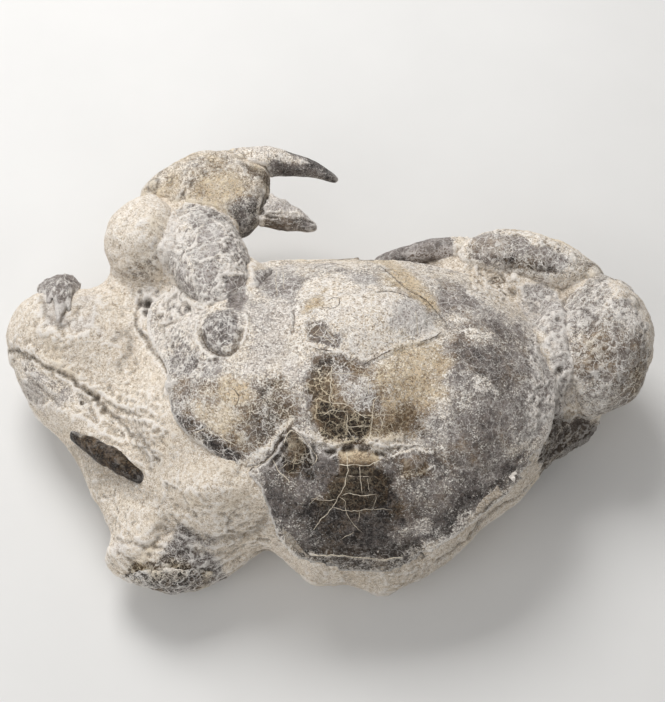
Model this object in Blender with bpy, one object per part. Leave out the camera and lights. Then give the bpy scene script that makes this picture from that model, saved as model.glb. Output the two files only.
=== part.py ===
"""Fossil crab in its stone, lying on its flat underside with its back up.

Metres, +Z up. The origin lies on the flat resting face, under the shell. +X is the crab's right side and
+Y its front.
Outlines and sizes are written in millimetres and turned into metres where the meshes are made.
"""

import math

import bmesh
import bpy
from mathutils import Vector, noise
from mathutils.geometry import delaunay_2d_cdt

MM = 0.001

# Driving dimensions, in millimetres
SHELL_CENTRE = (8.0, -24.0)
SHELL_HALF_WIDTH = 84.0
SHELL_HALF_LENGTH = 60.0
SHELL_RISE = 31.0
MARGIN_HEIGHT = 42.0
FORWARD_TILT = 0.12
SHELL_THICKNESS = 6.5
SHELL_EDGE_THICKNESS = 2.2
STONE_DROP = 1.4
STONE_BLEND = 12.0
PLAN_STEP = 5.2
RIM_ROUNDING = 17.0
FOOT_SHRINK = 0.66
FOOT_CENTRE = (-6.0, -22.0)
GAP = 0.35
ON_LINE = 0.05
MERGE_DISTANCE = 0.01

# The stone's outline seen from above, with the height of its widest edge: x, y, z
STONE_OUTLINE = [
    (106, -14, 30), (102, -25, 27), (93, -30, 26), (82, -39, 25), (74, -50, 23), (60, -60, 22), (46, -73, 22),
    (31, -82, 20), (19, -88, 18), (7, -84, 19), (-6, -84, 20), (-17, -75, 22), (-26, -70, 23), (-35, -76, 21),
    (-44, -83, 18), (-60, -86, 17), (-77, -83, 17), (-86, -76, 20), (-84, -65, 23), (-91, -53, 24), (-98, -37, 25),
    (-108, -24, 26), (-119, -14, 27), (-126, -3, 29), (-129, 10, 31), (-128, 20, 33), (-123, 28, 33), (-110, 33, 33),
    (-96, 32, 33), (-88, 42, 32), (-78, 52, 30), (-62, 56, 30), (-44, 51, 31), (-28, 40, 33), (-12, 36, 35),
    (8, 35, 36), (28, 38, 34), (48, 46, 32), (68, 50, 31), (88, 46, 30), (104, 34, 30), (113, 18, 30), (113, 2, 30),
]

# The outline of the crab's back shell, from above: x, y
SHELL_OUTLINE = [
    (84, -11), (82, -24), (80, -35), (74, -46), (66, -56), (55, -65), (44, -73), (33, -79), (22, -83), (9, -84),
    (-4, -82), (-12, -80), (-19, -75), (-23, -67), (-26, -59), (-33, -53), (-44, -46), (-54, -38), (-59, -29),
    (-60, -20), (-62, -11), (-68, 0), (-72, 12), (-69, 21), (-58, 27), (-42, 33), (-26, 37), (-8, 38), (10, 37),
    (27, 37), (44, 34), (58, 28), (71, 18), (80, 7),
]

# Swellings of the shell: x, y, half length, half width, turn in degrees, rise
SHELL_SWELLINGS = [
    (14, 2, 30, 13, 0, 3.4),
    (10, -33, 15, 15, 0, 2.2),
    (-38, -30, 22, 15, -35, 4.0),
    (55, -26, 24, 24, 0, 3.2),
    (-42, 4, 24, 15, -20, 3.0),
    (-13, -47, 4.5, 4.5, 0, 2.4),
    (28, -52, 4.5, 4.0, 0, 2.0),
    (13, -62, 12, 11, 0, 1.8),
    (-40, -4, 7.5, 9, 0, 3.2),
]

# Furrows of the shell: half width, depth, then the line they follow
SHELL_FURROWS = [
    (5.5, 2.6, [(-34, -52), (-24, -47), (-15, -40), (-6, -43)]),
    (5.5, 1.8, [(-10, -12), (4, -17), (14, -17), (26, -12), (40, 1)]),
    (5.5, 2.2, [(-6, -48), (8, -49), (24, -48), (40, -44)]),
    (6.5, 2.4, [(42, 12), (40, -10), (32, -30), (30, -42)]),
    (6.0, 1.8, [(-16, 16), (-17, -8), (-14, -28)]),
    (5.5, 2.4, [(40, -52), (52, -56), (64, -53), (74, -44)]),
    (5.0, 1.6, [(-14, -73), (4, -76), (22, -76), (38, -69)]),
]

# Swellings of the stone beside the shell, written as the shell's are
STONE_SWELLINGS = [
    (-44, -60, 26, 15, 12, 11.0),
    (-98, 8, 26, 17, -25, 6.0),
    (-72, -36, 26, 12, -48, 3.0),
    (-112, 22, 9, 9, 0, 2.5),
    (92, -2, 14, 26, 0, -6.0),
    (-66, 36, 16, 10, 20, -7.0),
    (-84, -56, 9, 17, -10, -6.0),
]

# Furrows of the stone, written as the shell's are; a depth below nothing makes a ridge
STONE_FURROWS = [
    (5.0, 4.6, [(-124, 4), (-108, -5), (-94, -13), (-87, -21), (-75, -33)]),
    (6.0, -3.0, [(-117, -8), (-105, -15), (-94, -23)]),
    (5.5, 3.0, [(-62, -70), (-44, -74), (-28, -68)]),
]


def smooth_closed(points, step):
    """Points about a step apart on the closed Catmull-Rom curve through the given points."""
    made = []
    count = len(points)
    for i in range(count):
        a, b, c, d = (Vector(points[(i + k) % count]) for k in (-1, 0, 1, 2))
        parts = max(1, round((c - b).length / step))
        for k in range(parts):
            made.append(between(a, b, c, d, k / parts))
    return made


def smooth_open(points, parts):
    """Points of the Catmull-Rom curve through the given points, with so many parts to each stretch."""
    ends = [2 * Vector(points[0]) - Vector(points[1])]
    ends += [Vector(p) for p in points]
    ends += [2 * Vector(points[-1]) - Vector(points[-2])]
    made = [between(*ends[i : i + 4], k / parts) for i in range(len(points) - 1) for k in range(parts)]
    return made + [ends[-2]]


def between(a, b, c, d, t):
    """The Catmull-Rom point a share t of the way from b to c."""
    return 0.5 * (2 * b + (c - a) * t + (2 * a - 5 * b + 4 * c - d) * t**2 + (3 * b - a - 3 * c + d) * t**3)


def to_line(point, line):
    """How far a plan point is from a line of plan points."""
    best = math.inf
    for a, b in zip(line, line[1:]):
        along = b - a
        share = max(0.0, min(1.0, (point - a).dot(along) / max(along.length_squared, 1e-9)))
        best = min(best, (point - a - along * share).length)
    return best


def is_inside(point, outline):
    """Whether a plan point lies inside a closed outline."""
    inside = False
    for a, b in zip(outline, outline[1:] + outline[:1]):
        if (a.y > point.y) != (b.y > point.y) and point.x < a.x + (b.x - a.x) * (point.y - a.y) / (b.y - a.y):
            inside = not inside
    return inside


def swell(point, swellings):
    """The height that rounded swellings add at a plan point."""
    added = 0.0
    for x, y, half_length, half_width, turn, rise in swellings:
        angle = math.radians(turn)
        dx, dy = point.x - x, point.y - y
        along = (dx * math.cos(angle) + dy * math.sin(angle)) / half_length
        across = (dy * math.cos(angle) - dx * math.sin(angle)) / half_width
        added += rise * math.exp(-1.4 * (along**2 + across**2))
    return added


def furrow(point, furrows):
    """The depth that furrows take away at a plan point."""
    taken = 0.0
    for half_width, depth, line in furrows:
        distance = to_line(point, [Vector(p) for p in line])
        taken += depth * math.exp(-((distance / half_width) ** 2))
    return taken


def dome(point):
    """Height of the smooth dome that the shell and the stone both follow."""
    across = (point.x - SHELL_CENTRE[0]) / SHELL_HALF_WIDTH
    along = (point.y - SHELL_CENTRE[1]) / SHELL_HALF_LENGTH
    out = min(1.0, math.hypot(across, along))
    tilt = FORWARD_TILT * (point.y - SHELL_CENTRE[1])
    return MARGIN_HEIGHT + tilt + SHELL_RISE * (1 - out**2.4) ** 0.75


def roughness(point, size, seed):
    """A soft natural unevenness from -1 to 1, with lumps of about that size."""
    return noise.noise(Vector((point.x / size, point.y / size, seed)))


def shell_top(point):
    relief = swell(point, SHELL_SWELLINGS) - furrow(point, SHELL_FURROWS)
    return dome(point) + relief + 0.5 * roughness(point, 9, 3.1)


def shell_under(point, edge_distance):
    share = min(1.0, edge_distance / 30)
    return dome(point) - SHELL_EDGE_THICKNESS - (SHELL_THICKNESS - SHELL_EDGE_THICKNESS) * share


def stone_top(point, rim_height, edge_distance, shell_distance):
    """Height of the stone beside the shell: level with it at its edge, and rounding down to its own rim."""
    relief = swell(point, STONE_SWELLINGS) - furrow(point, STONE_FURROWS)
    relief += 1.3 * roughness(point, 14, 7.7) + 0.7 * roughness(point, 6, 1.9)
    field = dome(point) - STONE_DROP + relief * min(1.0, shell_distance / STONE_BLEND)
    share = min(1.0, edge_distance / RIM_ROUNDING)
    return rim_height + (field - rim_height) * (1 - (1 - share) ** 2.2) ** 0.6


def plan_mesh(stone, shell):
    """Triangles over the stone and the shell as seen from above, with both outlines as edges."""
    rings = [[p.xy for p in stone], [p.xy for p in shell]]
    points, edges = [], []
    for ring in rings:
        start = len(points)
        points += ring
        edges += [(start + i, start + (i + 1) % len(ring)) for i in range(len(ring))]
    rows = range(-20, 21)
    for row in rows:
        for column in range(-28, 29):
            spot = Vector(((column + 0.5 * (row % 2)) * PLAN_STEP, row * PLAN_STEP * 0.866 - 15))
            spot += 0.9 * Vector((roughness(spot, 3, 11.3), roughness(spot, 3, 17.9)))
            wanted = any(is_inside(spot, ring) for ring in rings)
            if wanted and min(to_line(spot, ring + ring[:1]) for ring in rings) > 0.5 * PLAN_STEP:
                points.append(spot)
    made = delaunay_2d_cdt(points, edges, [], 0, 0.01)
    return made[0], made[2], rings


def nearest(point, outline):
    """The outline's own point that is nearest to a plan point."""
    return min(outline, key=lambda p: (p.xy - point).length_squared)


def boundary_loop(faces):
    """The vertices round the edge of a patch of triangles, in order, anticlockwise."""
    directed = {(f[i], f[(i + 1) % 3]) for f in faces for i in range(3)}
    following = {a: b for a, b in directed if (b, a) not in directed}
    start = min(following)
    loop = [start]
    while following[loop[-1]] != start:
        loop.append(following[loop[-1]])
    return loop


def new_object(name, points, faces, material):
    """A closed solid from points in millimetres."""
    mesh = bpy.data.meshes.new(name)
    mesh.from_pydata([Vector(p) * MM for p in points], [], faces)
    mesh.validate()
    obj = bpy.data.objects.new(name, mesh)
    bpy.context.scene.collection.objects.link(obj)
    obj.data.materials.append(material)
    shade(obj)
    return obj


def shade(obj):
    obj.data.shade_smooth()
    obj.data.set_sharp_from_angle(angle=math.radians(40))


def make_stone(plan, faces, outline, shell, material):
    """The stone: a lumpy top that carries the crab, a rounded side and a flat underside."""
    rim = [p.xy for p in outline]
    tops = {}
    for i in {v for f in faces for v in f}:
        edge = to_line(plan[i], rim + rim[:1])
        shell_distance = to_line(plan[i], shell + shell[:1])
        height = stone_top(plan[i], nearest(plan[i], outline).z, edge, shell_distance)
        if is_inside(plan[i], shell) or shell_distance < ON_LINE:
            seat_height = shell_under(plan[i], shell_distance) - GAP
            height = min(seat_height, height) if edge < RIM_ROUNDING else seat_height
        tops[i] = height
    order = {v: k for k, v in enumerate(sorted(tops))}
    points = [(plan[v].x, plan[v].y, tops[v]) for v in sorted(tops)]
    solid = [tuple(order[v] for v in f) for f in faces]
    ring = [order[v] for v in boundary_loop(faces)]
    centre = Vector(FOOT_CENTRE)
    above = ring
    for reach, drop in ((0.985, 0.72), (0.93, 0.42), (0.84, 0.18), (FOOT_SHRINK, 0.0)):
        below = []
        for v in ring:
            x, y, z = points[v]
            spot = Vector((x, y))
            uneven = 1 + 0.035 * roughness(spot, 22, 5.0 + drop) if drop else 1
            spot = centre + (spot - centre) * reach * uneven
            below.append(len(points))
            points.append((spot.x, spot.y, z * drop))
        for i in range(len(ring)):
            k = (i + 1) % len(ring)
            solid += [(above[i], below[i], below[k]), (above[i], below[k], above[k])]
        above = below
    middle = len(points)
    points.append((centre.x, centre.y, 0.0))
    solid += [(middle, above[(i + 1) % len(above)], above[i]) for i in range(len(above))]
    return new_object("matrix_stone", points, solid, material)


def make_shell(plan, faces, shell, material):
    """The back shell: a cap with the crab's swellings and furrows, lying on the stone."""
    used = sorted({v for f in faces for v in f})
    order = {v: k for k, v in enumerate(used)}
    top, under = [], []
    for v in used:
        point = plan[v]
        top.append((point.x, point.y, shell_top(point)))
        under.append((point.x, point.y, shell_under(point, to_line(point, shell + shell[:1]))))
    count = len(used)
    solid = [tuple(order[v] for v in f) for f in faces]
    solid += [tuple(order[v] + count for v in reversed(f)) for f in faces]
    ring = [order[v] for v in boundary_loop(faces)]
    for a, b in zip(ring, ring[1:] + ring[:1]):
        solid += [(a, a + count, b + count), (a, b + count, b)]
    return new_object("carapace", top + under, solid, material)


def limb(name, path, widths, heights, material, sides=12, parts=3, lumps=0.05):
    """A rounded limb segment along a path, with a half width and half height at each of its points."""
    spine = smooth_open(path, parts)
    sizes = smooth_open([(w, h) for w, h in zip(widths, heights)], parts)
    points, rings = [], []
    last = len(spine) - 1
    for i, (centre, size) in enumerate(zip(spine, sizes)):
        ahead = (spine[min(i + 1, last)] - spine[max(i - 1, 0)]).normalized()
        side = ahead.cross(Vector((0, 0, 1))).normalized()
        upward = side.cross(ahead)
        ring = []
        for k in range(sides):
            angle = 2 * math.pi * k / sides
            offset = side * (math.cos(angle) * size.x) + upward * (math.sin(angle) * size.y)
            bump = 1 + lumps * noise.noise((centre + offset) / 8)
            ring.append(len(points))
            points.append(centre + offset * bump)
        rings.append(ring)
    faces = []
    for ring, beyond in zip(rings, rings[1:]):
        for k in range(sides):
            m = (k + 1) % sides
            faces += [(ring[k], beyond[k], beyond[m]), (ring[k], beyond[m], ring[m])]
    for ring, centre, toward, turned in (
        (rings[0], spine[0], spine[1], False),
        (rings[-1], spine[-1], spine[-2], True),
    ):
        tip = len(points)
        reach = 0.6 * min(sizes[0 if not turned else -1])
        points.append(centre + (centre - toward).normalized() * reach)
        for k in range(sides):
            m = (k + 1) % sides
            faces.append((tip, ring[m], ring[k]) if turned else (tip, ring[k], ring[m]))
    return new_object(name, points, faces, material)


def grown(obj):
    """A hidden cutter: the object's shape, larger by the gap that touching pieces keep."""
    cutter = obj.copy()
    cutter.data = obj.data.copy()
    cutter.name = obj.name + "_cutter"
    bpy.context.scene.collection.objects.link(cutter)
    swelling = cutter.modifiers.new("Grow", "DISPLACE")
    swelling.strength = GAP * MM
    swelling.mid_level = 0.0
    cutter.hide_render = True
    cutter.display_type = "WIRE"
    return cutter


def seat(obj, cutters):
    """Cuts away what would lie inside its neighbours, and keeps the one body that is left."""
    for cutter in cutters:
        cut = obj.modifiers.new("Seat", "BOOLEAN")
        cut.operation = "DIFFERENCE"
        cut.solver = "EXACT"
        cut.object = cutter
    bpy.context.view_layer.update()
    graph = bpy.context.evaluated_depsgraph_get()
    cut_mesh = bpy.data.meshes.new_from_object(obj.evaluated_get(graph))
    obj.modifiers.clear()
    keep_largest_body(cut_mesh)
    obj.data = cut_mesh
    shade(obj)


def keep_largest_body(mesh):
    """Deletes all but the largest joined body of a mesh, and the faces with no width that a cut leaves."""
    work = bmesh.new()
    work.from_mesh(mesh)
    bmesh.ops.remove_doubles(work, verts=work.verts, dist=MERGE_DISTANCE * MM)
    bmesh.ops.dissolve_degenerate(work, dist=MERGE_DISTANCE * MM, edges=work.edges)
    bmesh.ops.triangulate(work, faces=work.faces)
    unseen = set(work.verts)
    bodies = []
    while unseen:
        body, front = set(), [unseen.pop()]
        while front:
            vert = front.pop()
            body.add(vert)
            for edge in vert.link_edges:
                other = edge.other_vert(vert)
                if other in unseen:
                    unseen.remove(other)
                    front.append(other)
        bodies.append(body)
    largest = max(bodies, key=len)
    bmesh.ops.delete(work, geom=[v for v in work.verts if v not in largest], context="VERTS")
    work.to_mesh(mesh)
    work.free()


def finish(name, colour, rough):
    material = bpy.data.materials.new(name)
    material.use_nodes = True
    surface = material.node_tree.nodes["Principled BSDF"]
    surface.inputs["Base Color"].default_value = (*colour, 1)
    surface.inputs["Roughness"].default_value = rough
    surface.inputs["Metallic"].default_value = 0.0
    return material


def make_limbs(pale, grey, dark):
    """The crab's claws and legs, each named segment on its own path."""
    return [
        limb(
            "left_claw_arm",
            [(-56, 58, 46), (-50, 41, 52), (-44, 26, 57), (-39, 13, 60)],
            [12, 15, 14, 8],
            [9, 12, 10, 6],
            grey,
            parts=2,
        ),
        limb(
            "left_claw_wrist",
            [(-72, 62, 45), (-73, 53, 46), (-74, 43, 44), (-75, 33, 42)],
            [7, 14.5, 16, 11],
            [8, 17, 19, 12],
            pale,
            sides=14,
        ),
        limb(
            "left_claw_palm",
            [(-75, 66, 44), (-64, 68.5, 46), (-48, 69, 48), (-30, 65, 47)],
            [5, 12, 18, 17.5],
            [5, 10, 12, 10],
            pale,
            sides=14,
        ),
        limb(
            "left_claw_movable_finger",
            [(-38, 80, 49), (-28, 81.5, 50), (-18, 81.5, 49), (-8, 79.5, 48), (-1, 76.5, 47), (1.5, 75.5, 46)],
            [7.5, 6.2, 4.6, 3.2, 1.9, 1.0],
            [7.0, 6.0, 4.6, 3.2, 1.9, 1.0],
            dark,
            parts=2,
            sides=10,
        ),
        limb(
            "left_claw_fixed_finger",
            [(-30, 61.5, 47), (-22, 60, 46), (-14, 57, 45), (-7.5, 54.5, 44)],
            [7.4, 6.4, 4.2, 1.8],
            [5.6, 4.8, 3.2, 1.6],
            grey,
            parts=2,
            sides=10,
        ),
        limb(
            "right_claw_palm",
            [(104, 28, 40), (104.5, 17, 42), (103.5, 4, 42), (100, -10, 40), (96, -18, 38)],
            [10, 17, 19.5, 16.5, 9],
            [10, 17, 20, 17, 9],
            grey,
            sides=16,
            parts=2,
        ),
        limb(
            "right_claw_arm",
            [(52, 40, 44), (64, 41, 47), (80, 37, 47), (95, 32, 45), (103, 29, 43)],
            [6, 9.5, 10.5, 8.5, 5],
            [6, 10, 11, 9, 6],
            dark,
            parts=2,
        ),
        limb(
            "front_right_leg",
            [(18, 39, 41), (30, 42, 42), (42, 44, 43), (52, 44, 43)],
            [3.0, 4.6, 5.2, 5.0],
            [4, 6, 7, 7],
            dark,
            parts=2,
            sides=10,
        ),
        limb(
            "front_left_leg_stub",
            [(-110, 32, 36), (-107, 25, 39), (-105, 15, 42)],
            [9.0, 8.5, 6.0],
            [5.5, 6.5, 4.5],
            dark,
            sides=10,
        ),
        limb(
            "rear_left_leg",
            [(-97, -28, 32), (-89, -35, 35), (-80, -42, 38), (-70, -50, 40)],
            [3.4, 4.2, 3.8, 2.2],
            [4.0, 5.0, 4.5, 2.5],
            dark,
            sides=10,
        ),
        limb(
            "hind_left_leg",
            [(-78, -78, 20), (-66, -79.5, 22), (-54, -79.5, 23), (-44, -77.5, 23)],
            [4.5, 6.5, 6.5, 4.5],
            [5, 8, 8, 5],
            dark,
            sides=10,
        ),
    ]


def main():
    for obj in list(bpy.data.objects):
        bpy.data.objects.remove(obj)
    stone_finish = finish("Pale sandstone", (0.50, 0.45, 0.37), 0.9)
    shell_finish = finish("Brown fossil shell", (0.20, 0.17, 0.14), 0.6)
    grey_finish = finish("Grey fossil shell", (0.36, 0.34, 0.31), 0.7)
    pale_finish = finish("Weathered pale shell", (0.52, 0.47, 0.39), 0.8)
    outline = smooth_closed(STONE_OUTLINE, PLAN_STEP)
    shell_outline = smooth_closed(SHELL_OUTLINE, PLAN_STEP)
    plan, triangles, (stone_ring, shell_ring) = plan_mesh(outline, shell_outline)
    in_stone, in_shell = [], []
    for face in triangles:
        middle = (plan[face[0]] + plan[face[1]] + plan[face[2]]) / 3
        if is_inside(middle, stone_ring):
            in_stone.append(face)
        if is_inside(middle, shell_ring):
            in_shell.append(face)
    stone = make_stone(plan, in_stone, outline, shell_ring, stone_finish)
    shell = make_shell(plan, in_shell, shell_ring, shell_finish)
    cutters = [grown(stone), grown(shell)]
    for segment in make_limbs(pale_finish, grey_finish, shell_finish):
        own_cutter = grown(segment)
        seat(segment, cutters)
        cutters.append(own_cutter)


main()
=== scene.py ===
import math
from itertools import product

import bmesh
import bpy
import numpy as np
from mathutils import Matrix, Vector
from mathutils.bvhtree import BVHTree


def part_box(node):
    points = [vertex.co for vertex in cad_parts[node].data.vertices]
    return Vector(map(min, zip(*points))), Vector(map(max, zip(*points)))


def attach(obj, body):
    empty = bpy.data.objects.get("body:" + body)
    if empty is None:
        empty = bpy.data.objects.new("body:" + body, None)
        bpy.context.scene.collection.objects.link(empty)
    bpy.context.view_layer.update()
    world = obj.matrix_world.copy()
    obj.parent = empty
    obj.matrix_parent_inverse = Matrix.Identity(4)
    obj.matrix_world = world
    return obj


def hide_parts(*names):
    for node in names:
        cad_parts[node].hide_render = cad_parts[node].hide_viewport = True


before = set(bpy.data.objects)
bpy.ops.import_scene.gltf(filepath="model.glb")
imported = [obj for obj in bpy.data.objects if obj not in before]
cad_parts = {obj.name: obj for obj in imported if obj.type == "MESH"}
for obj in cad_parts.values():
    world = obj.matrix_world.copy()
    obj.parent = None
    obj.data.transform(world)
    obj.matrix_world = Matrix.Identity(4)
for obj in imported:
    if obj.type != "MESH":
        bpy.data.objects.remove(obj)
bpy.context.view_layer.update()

MM = 0.001
UP = (0.0, 0.0, 1.0)
ROOT = "root"
SANDSTONE, BROWN_SHELL = "Pale sandstone", "Brown fossil shell"
GREY_SHELL, PALE_SHELL = "Grey fossil shell", "Weathered pale shell"
# the soil mark holds both soil and painted shade
MARKS = ("crust", "shade", "warm", "veins", "soil", "hollow")

# Grain and crumble of the rock, all in millimetres
LATTICE_SIDE = 64
LATTICE = np.random.default_rng(20).random((LATTICE_SIDE,) * 3)


def smooth(value, low, high):
    """0 below low, 1 above high, and a soft step between."""
    part = np.clip((value - low) / (high - low), 0.0, 1.0)
    return part * part * (3.0 - 2.0 * part)


def turned(points, salt):
    """The points seen from another side, so that grains of different sizes never line up."""
    c, s = math.cos(0.9 + 1.7 * salt), math.sin(0.9 + 1.7 * salt)
    turn = np.array(((c, -s, 0.0), (0.8 * s, 0.8 * c, -0.6), (0.6 * s, 0.6 * c, 0.8)))
    return points @ turn.T + 31.7 * salt


def grain(points, size, salt=0):
    """Soft lumps of one size, from -1 to 1."""
    place = turned(points, salt) / size
    corner = np.floor(place).astype(np.int64)
    part = place - corner
    part = part * part * (3.0 - 2.0 * part)
    shares = (1 - part, part)
    ends = (corner & (LATTICE_SIDE - 1), (corner + 1) & (LATTICE_SIDE - 1))
    total = 0.0
    for i, j, k in product((0, 1), repeat=3):
        share = shares[i][:, 0] * shares[j][:, 1] * shares[k][:, 2]
        total = total + share * LATTICE[ends[i][:, 0], ends[j][:, 1], ends[k][:, 2]]
    return total * 2.0 - 1.0


def crumble(points, size, octaves=3, salt=0, fade=0.55):
    """Lumps on lumps, each half the size of the last, from about -1 to 1."""
    total, weight = 0.0, 0.0
    for k in range(octaves):
        total = total + grain(points, size / 2 ** k, salt + k) * fade ** k
        weight += fade ** k
    return total / weight * 1.5


def crests(points, size, octaves=2, salt=0, sharp=3.5):
    """Thin meandering crests, 1 on the crest and 0 beside it."""
    return (1.0 - np.clip(np.abs(crumble(points, size, octaves, salt)) * sharp, 0.0, 1.0)) ** 1.5


def cells(points, size, salt=0):
    """How far each point is from the border of its cell, in cell sizes, and the cell's own number."""
    place = turned(points, salt) / size
    corner = np.floor(place).astype(np.int64)
    first, second = np.full((2, len(points)), 9.0)
    own = np.zeros(len(points))
    for step in product((-1, 0, 1), repeat=3):
        a, b, c = ((corner + step) & (LATTICE_SIDE - 1)).T
        seed = np.stack((LATTICE[a, b, c], LATTICE[b, c, a], LATTICE[c, a, b]), 1)
        far = np.linalg.norm(corner + step + seed - place, axis=1)
        second = np.minimum(second, np.maximum(first, far))
        own = np.where(far < first, LATTICE[c, b, a], own)
        first = np.minimum(first, far)
    return second - first, own


SEAM_WIDTH = 0.10


def plates(points, size, salt=0):
    """Broken plates: each one's level, from -0.5 to 0.5, and 1 on the seams between them."""
    bent = points + 0.2 * size * np.stack([crumble(points, 0.8 * size, 3, salt + k) for k in (5, 6, 7)], 1)
    border, own = cells(bent, size, salt)
    return own - 0.5, np.exp(-(border / SEAM_WIDTH) ** 2)


def to_line(points, line):
    """Distance from each point to a line of corners, in plan or in space as the corners are given."""
    corners = np.array(line, float)
    spots = points[:, :corners.shape[1]]
    best = np.full(len(points), 1e9)
    for start, end in zip(corners[:-1], corners[1:]):
        along = end - start
        share = np.clip((spots - start) @ along / max(along @ along, 1e-9), 0.0, 1.0)
        best = np.minimum(best, np.linalg.norm(spots - start - share[:, None] * along, axis=1))
    return best


def inside(points, ring):
    """Which points lie within the ring, seen from above."""
    x, y = points[:, 0], points[:, 1]
    odd = np.zeros(len(points), bool)
    for (ax, ay), (bx, by) in zip(ring, ring[1:] + ring[:1]):
        if ay != by:
            odd ^= ((ay > y) != (by > y)) & (x < (bx - ax) * (y - ay) / (by - ay) + ax)
    return odd


def patch(points, ring, soft=1.5, ragged=1.5, salt=0, size=4.0):
    """1 within the ring and 0 outside it, with a soft and ragged edge."""
    far = to_line(points, ring + ring[:1])
    far = np.where(inside(points, ring), far, -far) + ragged * crumble(points, size, 4, salt)
    return smooth(far, -soft, soft)


def swelling(points, x, y, rx, ry, height, angle=0.0, flat=2.0):
    """A rounded boss in plan; flat above 2 gives it a broad top and steep sides."""
    c, s = math.cos(math.radians(angle)), math.sin(math.radians(angle))
    dx, dy = points[:, 0] - x, points[:, 1] - y
    far = np.hypot((c * dx + s * dy) / rx, (c * dy - s * dx) / ry)
    return height * np.exp(-far ** flat)


# The mesh of each piece
def merged(node):
    """The node's own faces, joined at their corners, in a mesh of its own."""
    soup = bmesh.new()
    soup.from_mesh(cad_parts[node].data)
    bmesh.ops.remove_doubles(soup, verts=soup.verts, dist=1e-6)
    mesh = bpy.data.meshes.new(node + "_form")
    soup.to_mesh(mesh)
    soup.free()
    mesh.materials.clear()
    return mesh


def rounded(nodes, name, spacing, levels=2, rubbed=3, swell=0.0, webs=()):
    """One skin over the nodes and webs, rounded off and cut into even faces."""
    soup = bmesh.new()
    for web in webs:
        corners = [soup.verts.new(Vector(corner) * MM) for corner in web]
        bmesh.ops.convex_hull(soup, input=corners)
    for node in nodes:
        form = merged(node)
        set_points(form, points_of(form) + normals_of(form) * swell)
        soup.from_mesh(form)
        bpy.data.meshes.remove(form)
    piece = bpy.data.objects.new(name, bpy.data.meshes.new(name))
    soup.to_mesh(piece.data)
    soup.free()
    bpy.context.scene.collection.objects.link(piece)
    soften = piece.modifiers.new("soften", "SUBSURF")
    soften.levels = levels
    even = piece.modifiers.new("even", "REMESH")
    even.mode = "VOXEL"
    even.voxel_size = spacing * MM
    rub = piece.modifiers.new("rub", "SMOOTH")
    rub.factor = 0.5
    rub.iterations = rubbed
    seen = piece.evaluated_get(bpy.context.evaluated_depsgraph_get())
    mesh = bpy.data.meshes.new_from_object(seen)
    piece.modifiers.clear()
    piece.data = mesh
    return piece


def points_of(mesh):
    flat = np.empty(len(mesh.vertices) * 3)
    mesh.vertices.foreach_get("co", flat)
    return flat.reshape(-1, 3) / MM


def normals_of(mesh):
    flat = np.empty(len(mesh.vertices) * 3)
    mesh.vertex_normals.foreach_get("vector", flat)
    return flat.reshape(-1, 3)


def set_points(mesh, points):
    mesh.vertices.foreach_set("co", (points * MM).ravel())
    mesh.update()


def finer(mesh, wanted):
    """Cuts the faces whose corners are all wanted into four."""
    soup = bmesh.new()
    soup.from_mesh(mesh)
    soup.verts.ensure_lookup_table()
    faces = [f for f in soup.faces if all(wanted[v.index] for v in f.verts)]
    edges = list({e for f in faces for e in f.edges})
    bmesh.ops.subdivide_edges(soup, edges=edges, cuts=1, use_grid_fill=True)
    bmesh.ops.triangulate(soup, faces=[f for f in soup.faces if len(f.verts) > 4])
    soup.to_mesh(mesh)
    soup.free()


def neighbours(mesh):
    """For each corner, the mean of the corners that it shares an edge with."""
    flat = np.empty(len(mesh.edges) * 2, np.int64)
    mesh.edges.foreach_get("vertices", flat)
    a, b = flat.reshape(-1, 2).T
    size = len(mesh.vertices)
    count = np.maximum(np.bincount(a, minlength=size) + np.bincount(b, minlength=size), 1)

    def mean(values):
        return (np.bincount(a, values[b], size) + np.bincount(b, values[a], size)) / count
    return mean


def spread(mesh, columns, times, share=0.5):
    """Evens columns of values out over neighbouring corners."""
    mean = neighbours(mesh)
    columns = columns.copy()
    for _ in range(times):
        for k in range(columns.shape[1]):
            columns[:, k] += share * (mean(columns[:, k]) - columns[:, k])
    return columns


DEEP_PIT = 0.16


def sunken(mesh):
    """How hollow the surface is at each corner: about 1 in a pit and -1 on a crest."""
    points, normals = points_of(mesh), normals_of(mesh)
    depth = np.einsum("ij,ij->i", spread(mesh, points, 6) - points, normals)
    return np.clip(spread(mesh, depth[:, None], 1)[:, 0] / DEEP_PIT, -1.0, 1.0)


TREES = {}
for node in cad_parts:
    skin = merged(node)
    spots = [v.co / MM for v in skin.vertices]
    TREES[node] = BVHTree.FromPolygons(spots, [p.vertices[:] for p in skin.polygons])
    bpy.data.meshes.remove(skin)


def gaps(points, nodes, reach=9.0):
    """How far each point is from each of the nodes, up to reach."""
    far = np.full((len(points), len(nodes)), reach)
    for column, node in enumerate(nodes):
        low, high = (np.array(corner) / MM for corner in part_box(node))
        near = np.flatnonzero(((points > low - reach) & (points < high + reach)).all(1))
        for i in near:
            spot = TREES[node].find_nearest(points[i], reach)
            if spot[0] is not None:
                far[i, column] = spot[3]
    return far


def dress(piece, marks):
    """Stores the marks that the finish reads, one number at each corner."""
    mesh = piece.data
    mesh.shade_smooth()
    for name in MARKS:
        layer = mesh.attributes.new(name, "FLOAT", "POINT")
        layer.data.foreach_set("value", np.clip(marks[name], 0.0, 1.0).astype(np.float32))


def painted(points, base, patches, seed=3):
    """The marks of a piece: its base values, with each patch laid over them in turn."""
    marks = {name: np.full(len(points), float(base.get(name, 0.0))) for name in MARKS + ("net", "plates")}
    for number, (ring, soft, ragged, values) in enumerate(patches):
        share = patch(points, ring, 1.4 * soft, 1.7 * ragged, number + seed, 6.0)
        for name, value in values.items():
            marks[name] += (value - marks[name]) * share
    return marks


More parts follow.
